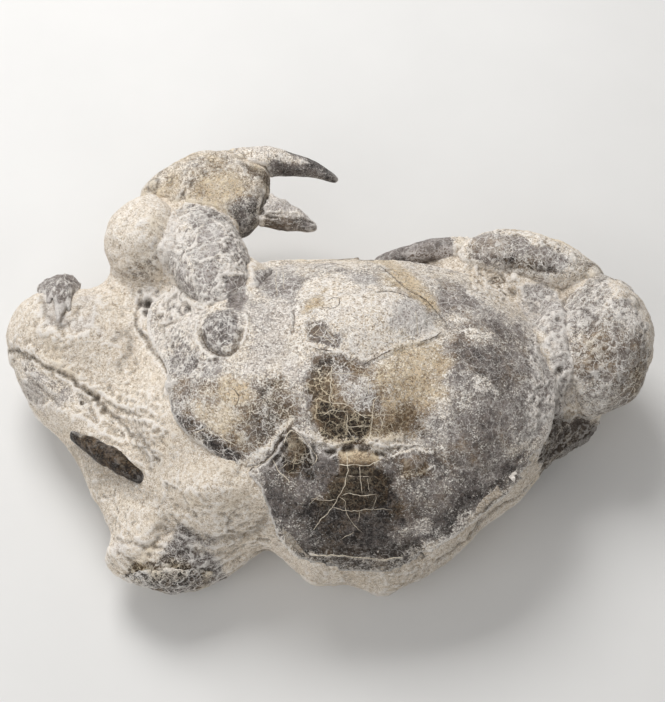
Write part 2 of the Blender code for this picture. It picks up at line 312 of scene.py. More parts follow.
def weathered(points, marks, seed=0):
    """Breaks the marks up into islands, and gives how far crust and crests stand above the shell."""
    net = crests(points, 5.2, 4, seed + 50, 2.6) * marks["net"]
    marks["crust"] += 0.15 * crumble(points, 8.0, 3, seed + 5) + 0.16 * crumble(points, 2.4, 3, seed + 8, 0.8)
    marks["crust"] += 0.75 * net
    marks["shade"] += 0.26 * crumble(points, 4.5, 4, seed + 12, 0.75)
    marks["warm"] += 0.30 * crumble(points, 9.0, 3, seed + 16)
    bare = 1.0 - smooth(marks["crust"], 0.35, 0.6)
    rough = 0.18 - 0.11 * bare
    height = 0.30 * (1.0 - bare) + 0.45 * net + rough * crumble(points, 2.0, 3, seed + 21, 0.75)
    if marks["plates"].any():
        for size, steps, seam_rise in ((6.5, 1.5, 0.3), (2.8, 0.7, 0.2)):
            level, seam = plates(points, size, seed + 60)
            height += marks["plates"] * (steps * level + seam_rise * seam)
            marks["crust"] += marks["plates"] * (0.5 * level + 0.35 * seam)
    veins = 0.12 * crests(points, 3.0, 2, seed + 30) * marks["veins"]
    return height + 0.3 * crumble(points, 13.0, 2, seed + 2) + veins


def lined(points, lines, wander=0.5, seed=40):
    """Grooves and ridges along lines, the soil and painted shade in the grooves and the crust on the ridges.
    """
    bent = points + wander * np.stack([crumble(points, 4.0, 4, seed + k, 0.75) for k in range(3)], 1)
    uneven = np.clip(0.9 + 0.9 * crumble(points, 3.2, 4, seed + 4, 0.85), 0.08, 1.9)
    height, soil, crust = np.zeros((3, len(points)))
    for line, width, rise in lines:
        near = np.exp(-(to_line(bent, line) / (width * np.sqrt(uneven))) ** 2)
        height += rise * near * uneven
        # grooves are darkened with soil and painted shade
        soil = np.maximum(soil, near * min(1.0, max(0.0, -rise * 0.55)))
        crust = np.maximum(crust, near * min(1.0, max(0.0, rise * 1.3)))
    return height, soil, crust


def finished(piece, points, normals, height, marks, depth=0.6):
    """Moves the faces out by height, and darkens what is hollow with soil and painted shade."""
    moved = points + normals * height[:, None]
    moved[:, 2] = np.maximum(moved[:, 2], 0.0)
    set_points(piece.data, moved)
    hollow = sunken(piece.data)
    depth = depth * (1.0 - 0.5 * np.clip(marks["net"], 0.0, 1.0))
    # hollows are darkened with soil and painted shade
    marks["soil"] = np.maximum(marks["soil"], smooth(hollow, 0.1, 1.0) * depth)
    marks["hollow"] = 0.5 + 0.5 * hollow
    dress(piece, marks)


def settle(piece, slot, nodes=()):
    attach(piece, ROOT)
    if nodes:
        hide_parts(*nodes)


# The tables are in millimetres. Lines and rings are given corner by corner, in plan or in space
def plan(*numbers):
    return list(zip(numbers[::2], numbers[1::2]))


def space(*numbers):
    return list(zip(numbers[::3], numbers[1::3], numbers[2::3]))


def look(crust=None, shade=None, warm=None, veins=None, **others):
    """Marks of a place: how much crust, how dark and how brown the shell is, how many filled cracks."""
    given = dict(crust=crust, shade=shade, warm=warm, veins=veins, **others)
    return {name: value for name, value in given.items() if value is not None}


# The back shell. A patch has its ring, how soft and how ragged its edge is, and the marks within it
SHELL_PATCHES = (
    # left side of the back: fine grey frost, and bare grey plates at the front
    (plan(-32, 5, -12, 9, -9, -10, -7, -26, -17, -31, -33, -26, -34, -10),
     4, 2, look(0.66, 0.3, 0.08, 0.3)),
    (plan(-30, 20, -28, 27, -24, 33, -16, 34, -12, 21, -14, 10, -24, 13),
     2.5, 1.5, look(0.24, 0.45, 0.05, 0.9)),
    (plan(-41, 19, -32, 22, -32, 12, -33, 6, -38, 7), 0.8, 0.5, look(0.1, 0.42, 0.2, 0.1)),
    (plan(-47, 3, -44, 5.5, -38, 6, -35, 3, -34.5, -3, -36, -9, -41, -11, -46, -8, -47.5, -3),
     0.6, 0.5, look(0.08, 0.66, 0.15, 0.9, net=0.2, plates=0.3)),
    (plan(-37, -10, -33, -6, -31, 2, -34, 8, -30, 2, -29, -6, -34, -13, -44, -14, -42, -12),
     1, 0.8, look(0.62, 0.3, 0.3)),
    # far left side
    (plan(-66, 16, -48, 16, -48, -8, -57, -14, -64, -6),
     2, 3, look(0.55, 0.45, 0.2, 0.7, net=0.6, plates=0.6)),
    (plan(-60, -2, -48, -8, -41, -12, -42, -22, -53, -22, -60, -14),
     3, 2, look(0.30, 0.6, 0.15, 0.9, net=0.4, plates=0.2)),
    (plan(-59, -17, -42, -21, -25, -24, -11, -31, -11, -39, -25, -48, -31, -54, -44, -46, -54, -37),
     2.5, 2.5, look(0.38, 0.56, 0.65, 0.9)),
    (plan(-38, -23, -29, -24, -26, -30, -31, -33, -38, -29), 2, 1.5, look(0.42, 0.12, 0.9, 0.5)),
    (plan(-50, -30, -40, -32, -31, -37, -33, -43, -42, -41, -49, -36), 2, 1.5, look(0.58, 0.3, 0.85, 0.6)),
    (plan(-27, -26, -18, -27, -14, -35, -20, -43, -26, -46, -31, -43, -30, -34),
     3, 3, look(0.26, 0.76, 0.7, 0.9)),
    (plan(-60, -24, -54, -33, -44, -40, -34, -47, -29, -49, -36, -51, -50, -46, -60, -35),
     1.5, 1.2, look(0.16, 0.86, 0.45, 0.8)),
    # middle of the back: frost in front of the arched crack, brown shell behind it
    (plan(-12, 16, 3, 20, 25, 10, 38, -2, 32, -10, 17, -16, 4, -15, -8, -11, -13, -1),
     3, 2.5, look(0.78, 0.2, 0.4, 0.9)),
    (plan(2, 12, 16, 11, 24, 2, 20, -8, 11, -13, 3, -6), 3, 2, look(0.8, 0.25, 0.3, 0.8, net=0.25)),
    (plan(22, 5, 30, 9, 37, 1, 34, -7, 26, -9, 21, -4), 2, 2, look(0.46, 0.14, 0.05, 1.0)),
    (plan(-10, -1, -4, -2, 3, -9, 1, -13, -9, -10), 1, 1.2, look(0.2, 0.68, 0.4, 1.0)),
    (plan(-11, 9, -3, 12, -2, 3, -11, 2), 2, 1.2, look(0.4, 0.2, 1.0, 0.7)),
    (plan(8, 20, 16, 21, 18, 15, 10, 14), 2, 1.5, look(0.4, 0.4, 0.15, 0.9)),
    (plan(-8, 32, 2, 33, 3, 24, -7, 22), 2, 2, look(0.35, 0.42, 0.1, 0.7)),
    (plan(-7, 32.5, -3, 33, -2, 28, -6, 27), 0.8, 0.8, look(0.1, 0.55, 0.15)),
    (plan(15, 36, 24, 36, 34, 15, 39, 6, 34, 4, 25, 14), 2.5, 1.5, look(0.36, 0.1, 0.95)),
    (plan(-6, -16, 4, -15, 19, -19, 23, -30, 22, -42, 14, -46, -3, -44, -7, -37, -7, -28),
     2, 1.5, look(0.2, 0.62, 0.8, 0.8)),
    (plan(-7, -16, 3, -15, 2, -22, -2, -30, -7, -32, -8, -24), 1.5, 1.5, look(0.12, 0.82, 0.75, 0.8)),
    (plan(2, -21, 13, -23, 15, -34, 9, -37, 2, -31), 2.5, 1.5, look(0.4, 0.46, 0.2, 1.0)),
    (plan(-7, -31, 0, -33, 9, -37.5, 14, -38.5, 13, -47, -3, -45), 1.5, 0.8, look(-0.12, 1.02, 0.95, 0.4)),
    (plan(24, -12, 35, -6, 42, -9, 40, -25, 33, -31, 25, -42, 20, -40, 21, -28, 18, -20),
     5, 2.6, look(0.42, 0.2, 0.9, 0.3)),
    (plan(20, -34, 30, -32, 32, -38, 25, -44, 19, -43), 2.5, 2, look(0.22, 0.6, 0.9)),
    # right side of the back: grey-brown shell under a scatter of white dots
    (plan(41, -2, 50, 2, 70, 2, 80, -8, 77, -25, 71, -37, 60, -49, 41, -53, 36, -44, 40, -31, 43, -18),
     4.5, 4, look(0.28, 0.6, 0.3, 0.35, plates=0.12)),
    (plan(47, -8, 60, -6, 66, -20, 52, -28, 46, -18), 4, 2, look(0.22, 0.75)),
    (plan(40, 22, 49, 25, 56, 14, 50, 3, 39, 5), 1.8, 2, look(0.24, 0.46, 0.25, 0.8)),
    (plan(-28, -57, -19, -50, -12, -46, -3, -50, 4, -54, 16, -54, 20, -50, 32, -48, 42, -52, 56, -54,
     67, -47, 73, -44, 67, -55, 53, -66, 38, -75, 26, -79, -10, -80, -24, -68),
     2, 2, look(0.19, 0.82, 0.25, 0.15)),
    (plan(16, -56, 26, -56, 36, -54, 48, -58, 40, -66, 26, -68, 20, -62),
     3, 2.5, look(0.34, 0.64, 0.2, 0.2)),
    (plan(74, 8, 84, 20, 86, -30, 72, -40, 72, -20),
     3, 2.5, look(0.34, 0.28, -0.05, 1.0, net=0.7, plates=0.12)),
    (plan(52, 28, 60, 28, 74, 22, 72, 16, 58, 13, 51, 17),
     1.5, 1.5, look(0.75, 0.4, 0.4, net=0.3, plates=0.7)),
    (plan(46, -2, 53, 0, 60, -3, 58, -8, 50, -8), 1.5, 1.5, look(0.5, 0.5)),
    (plan(49, -22, 56, -22, 58, -27, 52, -28), 1, 1.5, look(0.55, 0.6)),
    # back of the shell: two ochre bosses, pits under the ridge, and the dark gut region
    (plan(2, -48.5, 10, -48, 16, -49, 16, -53, 10, -54, 3, -53.5), 0.8, 0.5, look(0.2, 0.3, 1.0, 0.2)),
    (plan(-20, -50, -15, -41, -10, -44, -5, -50, -7, -57, -14, -58), 1, 0.8, look(-0.08, 1.04, 0.8, 0.5)),
    (plan(-16, -47, -14, -43, -11, -45, -10, -49, -13, -51), 1.2, 0.8, look(0.0, 0.76, 1.0, 0.3)),
    (plan(22, -51, 28, -48, 34, -48.5, 34, -55, 26, -58), 1.2, 1, look(0.14, 0.7, 0.75, 0.5)),
    (plan(4, -54, 14, -54, 21, -58, 24, -67, 21, -75, 14, -79, 4, -78, -4, -76, -10, -67, -5, -60, 1, -58),
     1.8, 1.2, look(0.02, 0.92, 0.45, 0.1)),
    (plan(3, -54, 14, -54, 19, -58, 18, -65, 10, -68, 0, -67, -6, -64, 0, -59),
     1.5, 1.5, look(-0.1, 1.02, 0.95, 0.1)),
    # soft haze over the dark gut region
    (plan(-10, -57, -4, -58, -4, -63, -14, -64, -18, -60), 2.5, 2, look(0.34, 0.6, 0.1)),
    (plan(-22, -66, -12, -68, -8, -74, -20, -74), 3, 3, look(0.2, 0.76, 0.1)),
    (plan(20, -70, 30, -68, 34, -72, 24, -76), 2, 2.5, look(0.5, 0.45, 0.3)),
    # painted shade along the back edge, where it turns down away from the light
    (plan(-12, -76.5, -4, -77.5, 14, -77.5, 28, -74.5, 36, -78, 26, -86, -12, -86),
     1, 1, look(0.05, 0.95, 0.45, soil=0.25)),
    # pale crust along the edge at the lower right
    (plan(36, -79, 47, -72, 59, -61, 69, -52, 76, -44, 84, -44, 74, -60, 60, -73, 42, -86),
     1, 1.2, look(0.7, 0.35, 0.35)),
)
SHELL_BASE = look(0.56, 0.42, 0.3, 0.5)

# Lines of the shell in plan: corners, half width, and height above the surface, below it if negative
SHELL_LINES = (
    (plan(-9, -11.8, 0, -14.8, 7, -17.8, 12, -18.8, 16, -16.8, 24, -12.8, 31, -10.8, 40, -4.8), 0.6, -0.25),
    (plan(-9, -9.6, 0, -12.4, 7, -15.4, 12, -16.4, 16, -14.6, 24, -10.8, 31, -8.8, 40, -3), 0.8, 0.35),
    (plan(-14, 4, -14, -1, -14.3, -6), 0.45, -0.6),
    (plan(18, 29, 24, 19, 29, 13, 34, 10, 38, 5, 42, 0), 0.5, -0.5),
    (plan(16, 11, 21, 12, 25, 11, 29, 9), 0.5, -0.5),
    (plan(-48, -1, -46, -8, -42, -12, -37, -13, -34, -11, -33, -5), 1.0, -1.1),
    (plan(-47, 6, -42, 8, -37, 7), 0.5, 0.5), (plan(-32.5, 4, -31, -1, -31.5, -7, -34, -11.5), 0.6, 0.7),
    (plan(-49, 3, -49.5, -3, -48, -9, -43, -14), 0.6, 0.5), (plan(-41, 19.5, -32, 22.5), 0.6, 0.7),
    (plan(-32, -53, -26, -51.5, -21, -48.5, -18, -44), 0.5, -1.1),
    (plan(-33, -51, -27, -48.8, -22, -46, -18.5, -41.5, -15, -38), 1.3, 0.45),
    (plan(-14, -40.5, -9, -42.5, -4, -44.8, 0, -46.3, 7, -45.2, 12, -46, 19, -47, 24, -45.6, 31, -45.5),
     0.5, 0.5),
    (plan(-6, -43.5, 0, -45.2, 8, -44.2, 16, -45.8, 24, -43.6), 1.8, 0.5),
    (plan(-2, -48.4, 0.5, -48.2), 0.8, -1.6), (plan(4, -47.9, 6.5, -47.5), 0.9, -1.6),
    (plan(10, -47.8, 12.5, -48.3), 0.8, -1.6), (plan(15.5, -49.2, 18, -49.6), 0.8, -1.4),
    (plan(-22, -52, -18, -49, -16, -46), 0.7, -1.3), (plan(-7, -46, -5.5, -49.5), 0.6, -1.0),
    (plan(-11.5, -44, -8, -47.5, -6.5, -52), 0.4, 0.3), (plan(22, -50, 28, -47, 35, -48), 0.6, 0.35),
    (plan(24, -57, 30, -56, 35, -53), 0.6, 0.25), (plan(1, -57, 6, -56.8, 14, -56.8), 0.5, -0.6),
    (plan(36, -49, 43, -50.5, 52, -52.5, 60, -52), 1.2, -0.5),
    (plan(-8, -78.6, -3, -79.2, 5, -79.4, 18, -80.2, 25, -79.4), 0.4, 0.3),
    (plan(-6, -77.2, 5, -77.6, 18, -78.4), 0.7, -0.7), (plan(-4, -81.4, 5, -81.8, 18, -82.4), 0.8, -0.7),
    (plan(-6, -18, -7.5, -26, -8, -37, -5, -44), 0.9, -0.3),
    (plan(24, -14, 22, -24, 23, -34, 24, -43), 0.9, -0.25), (plan(-66, 10, -60, -2, -58, -12), 0.9, -0.5),
)
# Bosses and dents: where, their two half widths, height, how far they are turned, and how steep
SHELL_SWELLINGS = (
    (-40.5, -3, 6.2, 7.6, 1.2, 12, 5), (-40.5, -3, 3.6, 5.0, -0.5, 12, 3), (-36, 12, 4, 7, -0.5, 0, 4),
    (-12, -49, 6.0, 5.4, 1.1, -35, 3), (28, -52, 5, 3.6, 0.9, 10, 3), (9, -51, 8, 2.6, 0.8, 0, 3),
    (5, -74.6, 9.5, 2.2, 0.6, -3, 4), (-59, -20, 3.0, 2.6, 1.6, 0, 3), (-1, -3, 5, 4, 0.35, 0, 2),
    (14, 3, 5, 6, 0.4, 20, 2), (29, 0, 6, 6, 0.3, 0, 2), (5, 25, 14, 4, 0.35, 0, 2),
    (-20, -37, 8, 7, 0.5, 20, 2), (-44, -30, 10, 6, 0.5, -30, 2), (52, -20, 14, 16, 0.4, 0, 2),
    (84, 7.5, 3.0, 4.5, -1.6, 0, 3),
)
OUTLINE = plan(-72, 14, -60, 24, -46, 30, -30, 36, -10, 38, 16, 37, 40, 30, 60, 22, 76, 8, 84, -10, 84, -28,
    76, -44, 60, -62, 40, -76, 20, -84, -6, -84, -18, -78, -30, -62, -44, -50, -58, -38, -64, -24, -66, -8)


SHELL_SPACING, SHELL_MEETING = 1.12, 2.5


def make_shell():
    shell = rounded(["carapace"], "fossil_carapace", SHELL_SPACING)
    mesh = shell.data
    finer(mesh, (normals_of(mesh)[:, 2] > 0.25) & (points_of(mesh)[:, 2] > 20))
    points, normals = points_of(mesh), normals_of(mesh)
    x, y = points[:, 0], points[:, 1]
    marks = painted(points, SHELL_BASE, SHELL_PATCHES)
    outer = smooth(normals[:, 2], -0.05, 0.3)
    # the smooth tan roll along the front edge, and crust along the others
    front = smooth(y, 22.0, 32.0) * smooth(x, -30.0, -22.0) * (1 - smooth(x, 16, 26))
    edge = to_line(points, OUTLINE + OUTLINE[:1]) + 2.5 * crumble(points, 5.0, 3, 71)
    rim = 1.0 - smooth(edge, 0.5, 6.0)
    marks["crust"] += (0.72 - marks["crust"]) * np.maximum(front * 0.8, rim * 0.6)
    marks["warm"] += (0.6 - marks["warm"]) * front * rim
    limbs = [node for node in CLAWS if node != "left_claw_movable_finger"]
    meet = np.exp(-(gaps(points, limbs, 6.0).min(1) / SHELL_MEETING) ** 2)
    marks["crust"] += 0.4 * meet
    height = weathered(points, marks) + 0.8 * meet
    grooves, soil, crust = lined(points, SHELL_LINES, 0.75)
    marks["soil"] = np.maximum(marks["soil"], soil)
    marks["crust"] += 0.9 * crust
    for boss in SHELL_SWELLINGS:
        grooves += swelling(points, *boss)
    finished(shell, points, normals, (height + grooves) * outer, marks, 0.5)
    return shell


# Hairline cracks of the shell in plan, by half width, drawn dark as their soil and painted shade
SHELL_CRACKS = {
    0.15: (
        plan(-9, -11, -4, -12.6, 0, -13.6), plan(10, -18, 12, -18, 14, -16.6, 18, -14.4, 21, -13.2),
        plan(31, -9.6, 36, -7, 40, -3.6), plan(-14, 4, -13.7, -1, -14.3, -6),
        plan(18, 29, 24, 19, 29, 13, 34, 10, 38, 5, 42, 0), plan(16, 11, 21, 12, 25, 11, 29, 9),
        plan(-2, 6.5, 0, 8, 2.5, 7, 2, 4, -1, 3, -4, 4), plan(-7, 27, -4, 30.5, 1, 31, 5, 28.5),
        plan(60, -2, 62.5, 0.5, 65.5, -1, 65, -4), plan(-26, -30, -22, -33, -23, -38),
        plan(-36, -26, -33, -30, -35, -34), plan(1, -57.2, 7, -57, 14, -57.4)),
    0.28: (
        plan(-47.5, -3, -45.5, -9, -41.5, -12.6, -37, -13.4, -34, -11),
        plan(-32, -54, -27, -52, -22, -49.3, -19, -45, -17, -41)),
}

# Veins of pale calcite on the shell in plan, by half width
VEINS = {
    0.14: (
        plan(-0.2, -18.7, -0.5, -23.8, -0.7, -28.3, -0.9, -32.2, 1.9, -32.9, 4.4, -33.6, 6.8, -35.4,
         8.9, -37.2, 11, -38.2, 13.4, -38.4),
        plan(16.7, -30.7, 15.2, -31.9, 14.3, -33.7, 13.8, -38.4, 13.3, -41.6, 13.1, -44.5, 12.1, -46.9),
        plan(5.1, -47.5, 5.3, -50.4, 5.4, -53.5, 5.1, -56.3, 4.6, -58.5, 3.7, -60.9, 2.4, -63.1, 1.2, -64.7,
         -0.2, -66.1, -1.8, -67.7, -3.4, -69, -5.1, -70.6, -6.7, -72.1),
        plan(-50.2, -39.9, -47.6, -39.2, -44.7, -38.9, -42.3, -37.6),
        plan(-44.7, -39.1, -42, -40.8, -39.4, -42.2, -36.6, -43.9, -34.1, -45.6),
        plan(-28.4, -53.5, -24.9, -51.4, -21.3, -49.5, -19.2, -46.9)),
    0.22: (
        plan(-8, -78.8, -2, -79.2, 5, -79.4, 12, -79.9, 18, -80.2, 25, -79.4),),
    0.15: (
        plan(-17.4, -46.4, -16.4, -43.6, -14.3, -41.2, -11.4, -43.2, -9, -45.6, -7.2, -47.5, -5.4, -50.3,
         -7.2, -53.1),
        plan(-21.3, -50, -19.8, -52.8, -18.4, -54.9, -16.3, -56.8, -14.7, -58.4),
        plan(1.9, -52.9, 5.1, -53.2, 8.6, -53.4, 12.1, -53.4, 14.9, -52.5, 17, -51, 18.8, -49.3)),
    0.10: (
        plan(-0.2, -22.1, 4.4, -21.9, 8.7, -22.4, 12.9, -23.1), plan(12.5, -23.1, 12.7, -27.1, 12.8, -30.9),
        plan(-3.7, -36.8, -1.9, -36.2, -0.2, -35.7, 2.6, -35.9, 5.4, -36.4),
        plan(5.4, -36, 5.2, -39, 5.1, -41.5, 6.1, -43.9, 6.8, -45.1),
        plan(5.1, -41.2, 8.9, -41.1, 13.1, -41.2), plan(17.7, -34.2, 18, -37.5, 17.1, -41.4),
        plan(20, -39.3, 21.6, -42), plan(29.9, 3.3, 30.5, -1.5, 30.7, -6.6),
        plan(15.1, 10.6, 14.2, 4, 13.8, -0.3), plan(-9.5, -9.1, -6.3, -6.3, -3.8, -3.9),
        plan(-6.3, -6.3, -2.7, -8.3, 0.9, -11.1), plan(-3.8, -3.9, -0.2, -8.2, 2, -11.5),
        plan(-21.7, 30.9, -21.1, 18.8, -20.5, 12.4), plan(-19.1, 33.1, -18, 15.8),
        plan(-30.8, -30.7, -29, -32.1, -28.3, -34.2, -29.3, -36.1),
        plan(-31.6, -45.6, -32.6, -43.2, -30.4, -41), plan(-18.4, -53.9, -15.2, -51.9),
        plan(-7.9, -63.5, -5.4, -63.6, -3, -63.8, -0.5, -64.1, 1.9, -64.3),
        plan(-0.2, -66.1, 2.3, -66.7, 5.1, -67.1, 8.2, -67.2, 11, -67.1, 14.2, -66.9, 17.3, -66.8,
         20.2, -66.8),
        plan(2.6, -63.3, 4.7, -64.6, 4.6, -65.7, 5.1, -67.7, 6.1, -69.3, 7.9, -71.4, 9.3, -72.5,
         10.6, -73.3),
        plan(9.6, -53.6, 9.6, -56.7, 9.8, -59.6, 10.1, -62.6),
        plan(5.1, -56.6, 7.9, -57, 10.6, -57, 13.8, -57.4), plan(12.2, -57.7, 12.4, -59.9, 13.1, -62),
        plan(3.3, -63, 5.7, -62.1, 8.2, -62.6, 11, -63.1, 13.7, -62.9, 15.2, -62.3),
        plan(15, -62.5, 15.2, -64.1, 14.5, -65.5, 14.2, -66.9), plan(9.5, -67.2, 9.5, -69.1, 9.1, -70.4),
        plan(-8.3, -65.5, -6.5, -63.8, -4.7, -62.4), plan(2.7, -75.1, 5.1, -74.1, 7.6, -73)),
}
THREAD_SIDES, THREAD_WANDER = 6, 0.35
HIGH_ABOVE = 120.0


def eased(line, spacing=0.5):
    """The line as closely set points on a smooth curve through its corners."""
    corners = np.array([line[0]] + list(line) + [line[-1]], float)
    path = []
    for before, start, end, after in zip(corners[:-3], corners[1:-2], corners[2:-1], corners[3:]):
        count = max(2, int(np.linalg.norm(end - start) / spacing))
        for t in np.arange(count) / count:
            bend = 2 * before - 5 * start + 4 * end - after
            twist = 3 * start - before - 3 * end + after
            path.append(0.5 * (2 * start + (end - before) * t + bend * t ** 2 + twist * t ** 3))
    return np.array(path + [corners[-1]])


def make_threads(shell, name, table):
    """Thin half-sunken threads that follow the shell's worn face: filled veins, or dark hairline cracks of
    soil and painted shade.
    """
    mesh = shell.data
    face = BVHTree.FromPolygons(points_of(mesh).tolist(), [p.vertices[:] for p in mesh.polygons])
    turns = [2 * math.pi * side / THREAD_SIDES for side in range(THREAD_SIDES)]
    corners, faces = [], []
    for thick, lines in table.items():
        for number, line in enumerate(lines):
            path = eased(line)
            places = np.column_stack((path, np.zeros(len(path))))
            path = path + THREAD_WANDER * np.stack([crumble(places, 2.2, 2, 80 + k) for k in (0, 1)], 1)
            uneven = 1.0 + 0.45 * crumble(places, 1.8, 2, 90 + number % 7)
            count = np.arange(len(path))
            taper = np.minimum(1.0, np.minimum(count, count[::-1]) / 3.0)
            hits = [face.ray_cast(Vector((x, y, HIGH_ABOVE)), -Vector(UP)) for x, y in path]
            spots = [np.array((*place, hit[0].z if hit[0] else 0.0)) for place, hit in zip(path, hits)]
            for k, spot in enumerate(spots):
                ahead = spots[min(k + 1, len(spots) - 1)] - spots[max(k - 1, 0)]
                across = np.cross(ahead, UP)
                across /= np.linalg.norm(across)
                size = thick * uneven[k] * (0.15 + 0.85 * taper[k])
                for turn in turns:
                    rise = size * (0.75 * math.sin(turn) - 0.15)
                    corners.append(spot + across * (size * math.cos(turn)) + (0, 0, rise))
            base, last = len(corners) - len(spots) * THREAD_SIDES, len(corners) - THREAD_SIDES
            for start in range(base, last, THREAD_SIDES):
                for side in range(THREAD_SIDES):
                    a, b = start + side, start + (side + 1) % THREAD_SIDES
                    faces.append((a, b, b + THREAD_SIDES, a + THREAD_SIDES))
            faces.append(tuple(range(base + THREAD_SIDES - 1, base - 1, -1)))
            faces.append(tuple(range(last, len(corners))))
    mesh = bpy.data.meshes.new(name)
    mesh.from_pydata([tuple(corner * MM) for corner in corners], [], faces)
    mesh.shade_smooth()
    threads = bpy.data.objects.new(name, mesh)
    bpy.context.scene.collection.objects.link(threads)
    return threads


# The stone block. Its skin also runs on inside the shell and limbs, which the same stone fills
STONE_BASE = look(1.0, 0.5, 0.45)
STONE_PATCHES = (
    (plan(-127, 0, -122, -12, -100, -22, -88, -27, -91, -18, -107, -8, -124, 3),
     1.5, 1.5, look(0.66, 0.44, 0.15)),
    # painted shade over the top of the lump at the lower left
    (plan(-72, -31, -50, -38, -33, -48, -50, -54, -74, -47), 4, 2.5, look(soil=0.13)),
    # the foot of the lump, under nets of white cracks
    (plan(-63, -71, -54, -70, -45, -74.5, -38, -80, -43, -85, -52, -82, -61, -76),
     2.5, 2, look(0.2, 0.66, 0.15, 0.9, net=0.15)),
    (plan(-76, -79, -62, -78, -47, -80, -40, -86, -60, -97, -82, -92),
     1.5, 1.5, look(0.14, 0.84, 0.6, 0.9, net=0.2)),
    # painted shadow in the hollow under the dark leg
    (plan(-100, -32, -88, -34, -66, -52, -62, -60, -76, -56, -94, -42), 2, 2, look(soil=0.3)),
    # a little painted shade inside the lip round the leg stub, on greyer stone
    (plan(-112, 22, -107, 9, -101, 5, -95, 5, -90, 12, -91, 24), 1.5, 1.5, look(soil=0.1, warm=0.1)),
    # crumbly blocks between the strip and the shell
    (plan(-90, -16, -76, -17, -64, -27, -58, -40, -64, -47, -76, -37, -84, -25), 2.5, 2, look(plates=0.6)),
    # netted crust beside the shell at the right, and the stepped block in front of it
    (plan(68, 26, 84, 25, 94, 12, 93, -4, 90, -16, 84, -28, 78, -30, 80, 0),
     2, 2, look(0.34, 0.28, -0.05, 1.0, net=0.7, plates=0.12)),
    (plan(50, 36, 58, 38, 74, 31, 72, 22, 60, 14, 51, 16), 1.5, 1, look(0.9, warm=0.5, plates=1.1)),
    # rough crust and bare plates between the left claw and the shell
    (plan(-76, 24, -60, 27, -48, 15, -45, 6, -58, 0, -68, 5),
     2, 2, look(0.55, 0.45, 0.2, 0.8, net=0.4, plates=0.8)),
    (plan(-71, 50, -60, 55, -54, 46, -55, 30, -66, 28, -71, 38),
     2.5, 2, look(0.62, 0.32, 0.2, 1.0, net=0.45, plates=0.2)),
    (plan(-41, 20.5, -33, 22.5, -31, 10, -33, 6, -38, 7), 0.8, 0.6, look(0.0, 0.42, 0.15, 0.3)),
    (plan(-30, 18, -28, 27, -24, 33, -18, 34, -16, 21, -22, 12), 1.5, 1.5, look(0.24, 0.45, 0.05, 0.9)),
    # the bevel under the back edge, with painted shade where it faces away from the light
    (plan(-14, -83, 5, -81, 34, -78, 60, -62, 78, -46, 86, -56, 60, -80, 30, -94, -14, -94),
     1.5, 1, look(0.85, 0.5, 0.5, soil=0.18)),
    (plan(36, -80, 60, -64, 76, -49, 86, -55, 62, -80, 40, -92), 2, 1.5, look(0.95, soil=0.03)),
    # painted shadow under the right claw, where the lower right of the block lies in shade
    (plan(77, -29, 93, -23, 106, -21, 104, -36, 84, -46, 74, -40),
     2, 2, look(0.22, 0.75, 0.25, plates=0.6, soil=0.5)),
)
STONE_LINES = (
    # the step above the smooth strip, and its end
    (plan(-127, 6, -112, -3, -100, -10, -90, -17, -85, -22), 0.8, -1.2),
    (plan(-125, 8, -115, 1.5, -106, -4.5, -98, -8, -91, -13), 2.0, 0.9),
    (plan(-85, -22, -78, -28, -71, -36, -63, -46), 0.9, -0.9),
    (plan(-88, -15, -80, -20, -72, -24), 1.2, 0.8),
    # lip round the leg stub
    (plan(-113, 20, -109.5, 8, -102, 2.5, -94, 4.5, -89, 12, -90, 22), 2.6, 0.9),
    (plan(-112, 22, -109, 13, -103, 8, -98, 11, -97, 18), 1.2, -0.6),
    # crevice along the left edge of the shell, and small steps of the field
    (plan(-74, 21, -75, 16, -75, 11, -72, 6, -70, 2, -64, -7, -60, -15), 0.8, -1.1),
    (plan(-83, 4, -79, 8, -76, 5, -77, 0, -81, -7), 1.6, -0.6), (plan(-86, 3, -81, 0, -78, -8), 2.2, 0.6),
    # bedding on the lump at the lower left, and cracks of its foot
    (space(-22, -66, 54, -26, -67, 36, -32, -70, 35, -43, -72, 37, -53, -69, 39, -63, -68, 37), 2.2, -0.7),
    (space(-24, -70, 30, -34, -74, 30, -45, -76, 32, -56, -73, 34), 1.2, -0.7),
    (space(-84, -67, 27, -76, -71, 32, -68, -74, 35, -60, -75, 34), 0.8, -0.8),
    (space(-70, -79, 28, -60, -77, 32, -50, -74, 34), 0.7, -0.7),
    # bevel under the back edge
    (space(-10, -83, 30, 5, -84, 31, 20, -84, 30, 32, -80, 28), 1.5, 0.9),
    (space(40, -76, 26, 52, -66, 28, 63, -56, 28, 76, -46, 28), 1.6, -0.9),
)
# Pits and knobs of the stone: where, how wide, how high. Pits are darkened with soil and painted shade
STONE_PITS = (
    (-71.5, 20, 46, 2.0, -2.6), (-71, 16, 46, 1.8, -2.4), (-119, -5, 39, 1.0, -1.2),
    (-94, -19, 41, 1.0, -1.2), (-89, -17, 39, 1.5, -1.6), (-86, -22, 38, 1.8, -1.2),
    (92, -30, 27, 3.2, -2.4), (99, -27, 25, 3.0, -2.2), (86, -33, 30, 2.0, -1.6), (70, 24, 46, 2.5, -1.2),
    (-60, -21, 57, 2.6, 1.4), (85, 9, 56, 1.6, -2.2), (60, 30, 53, 1.2, -1.4), (66, 24, 51, 1.0, -1.2),
    (80, 22, 49, 1.6, 1.2), (79, 5, 56, 1.5, 0.8), (84, -12, 54, 1.4, -1.2),
)
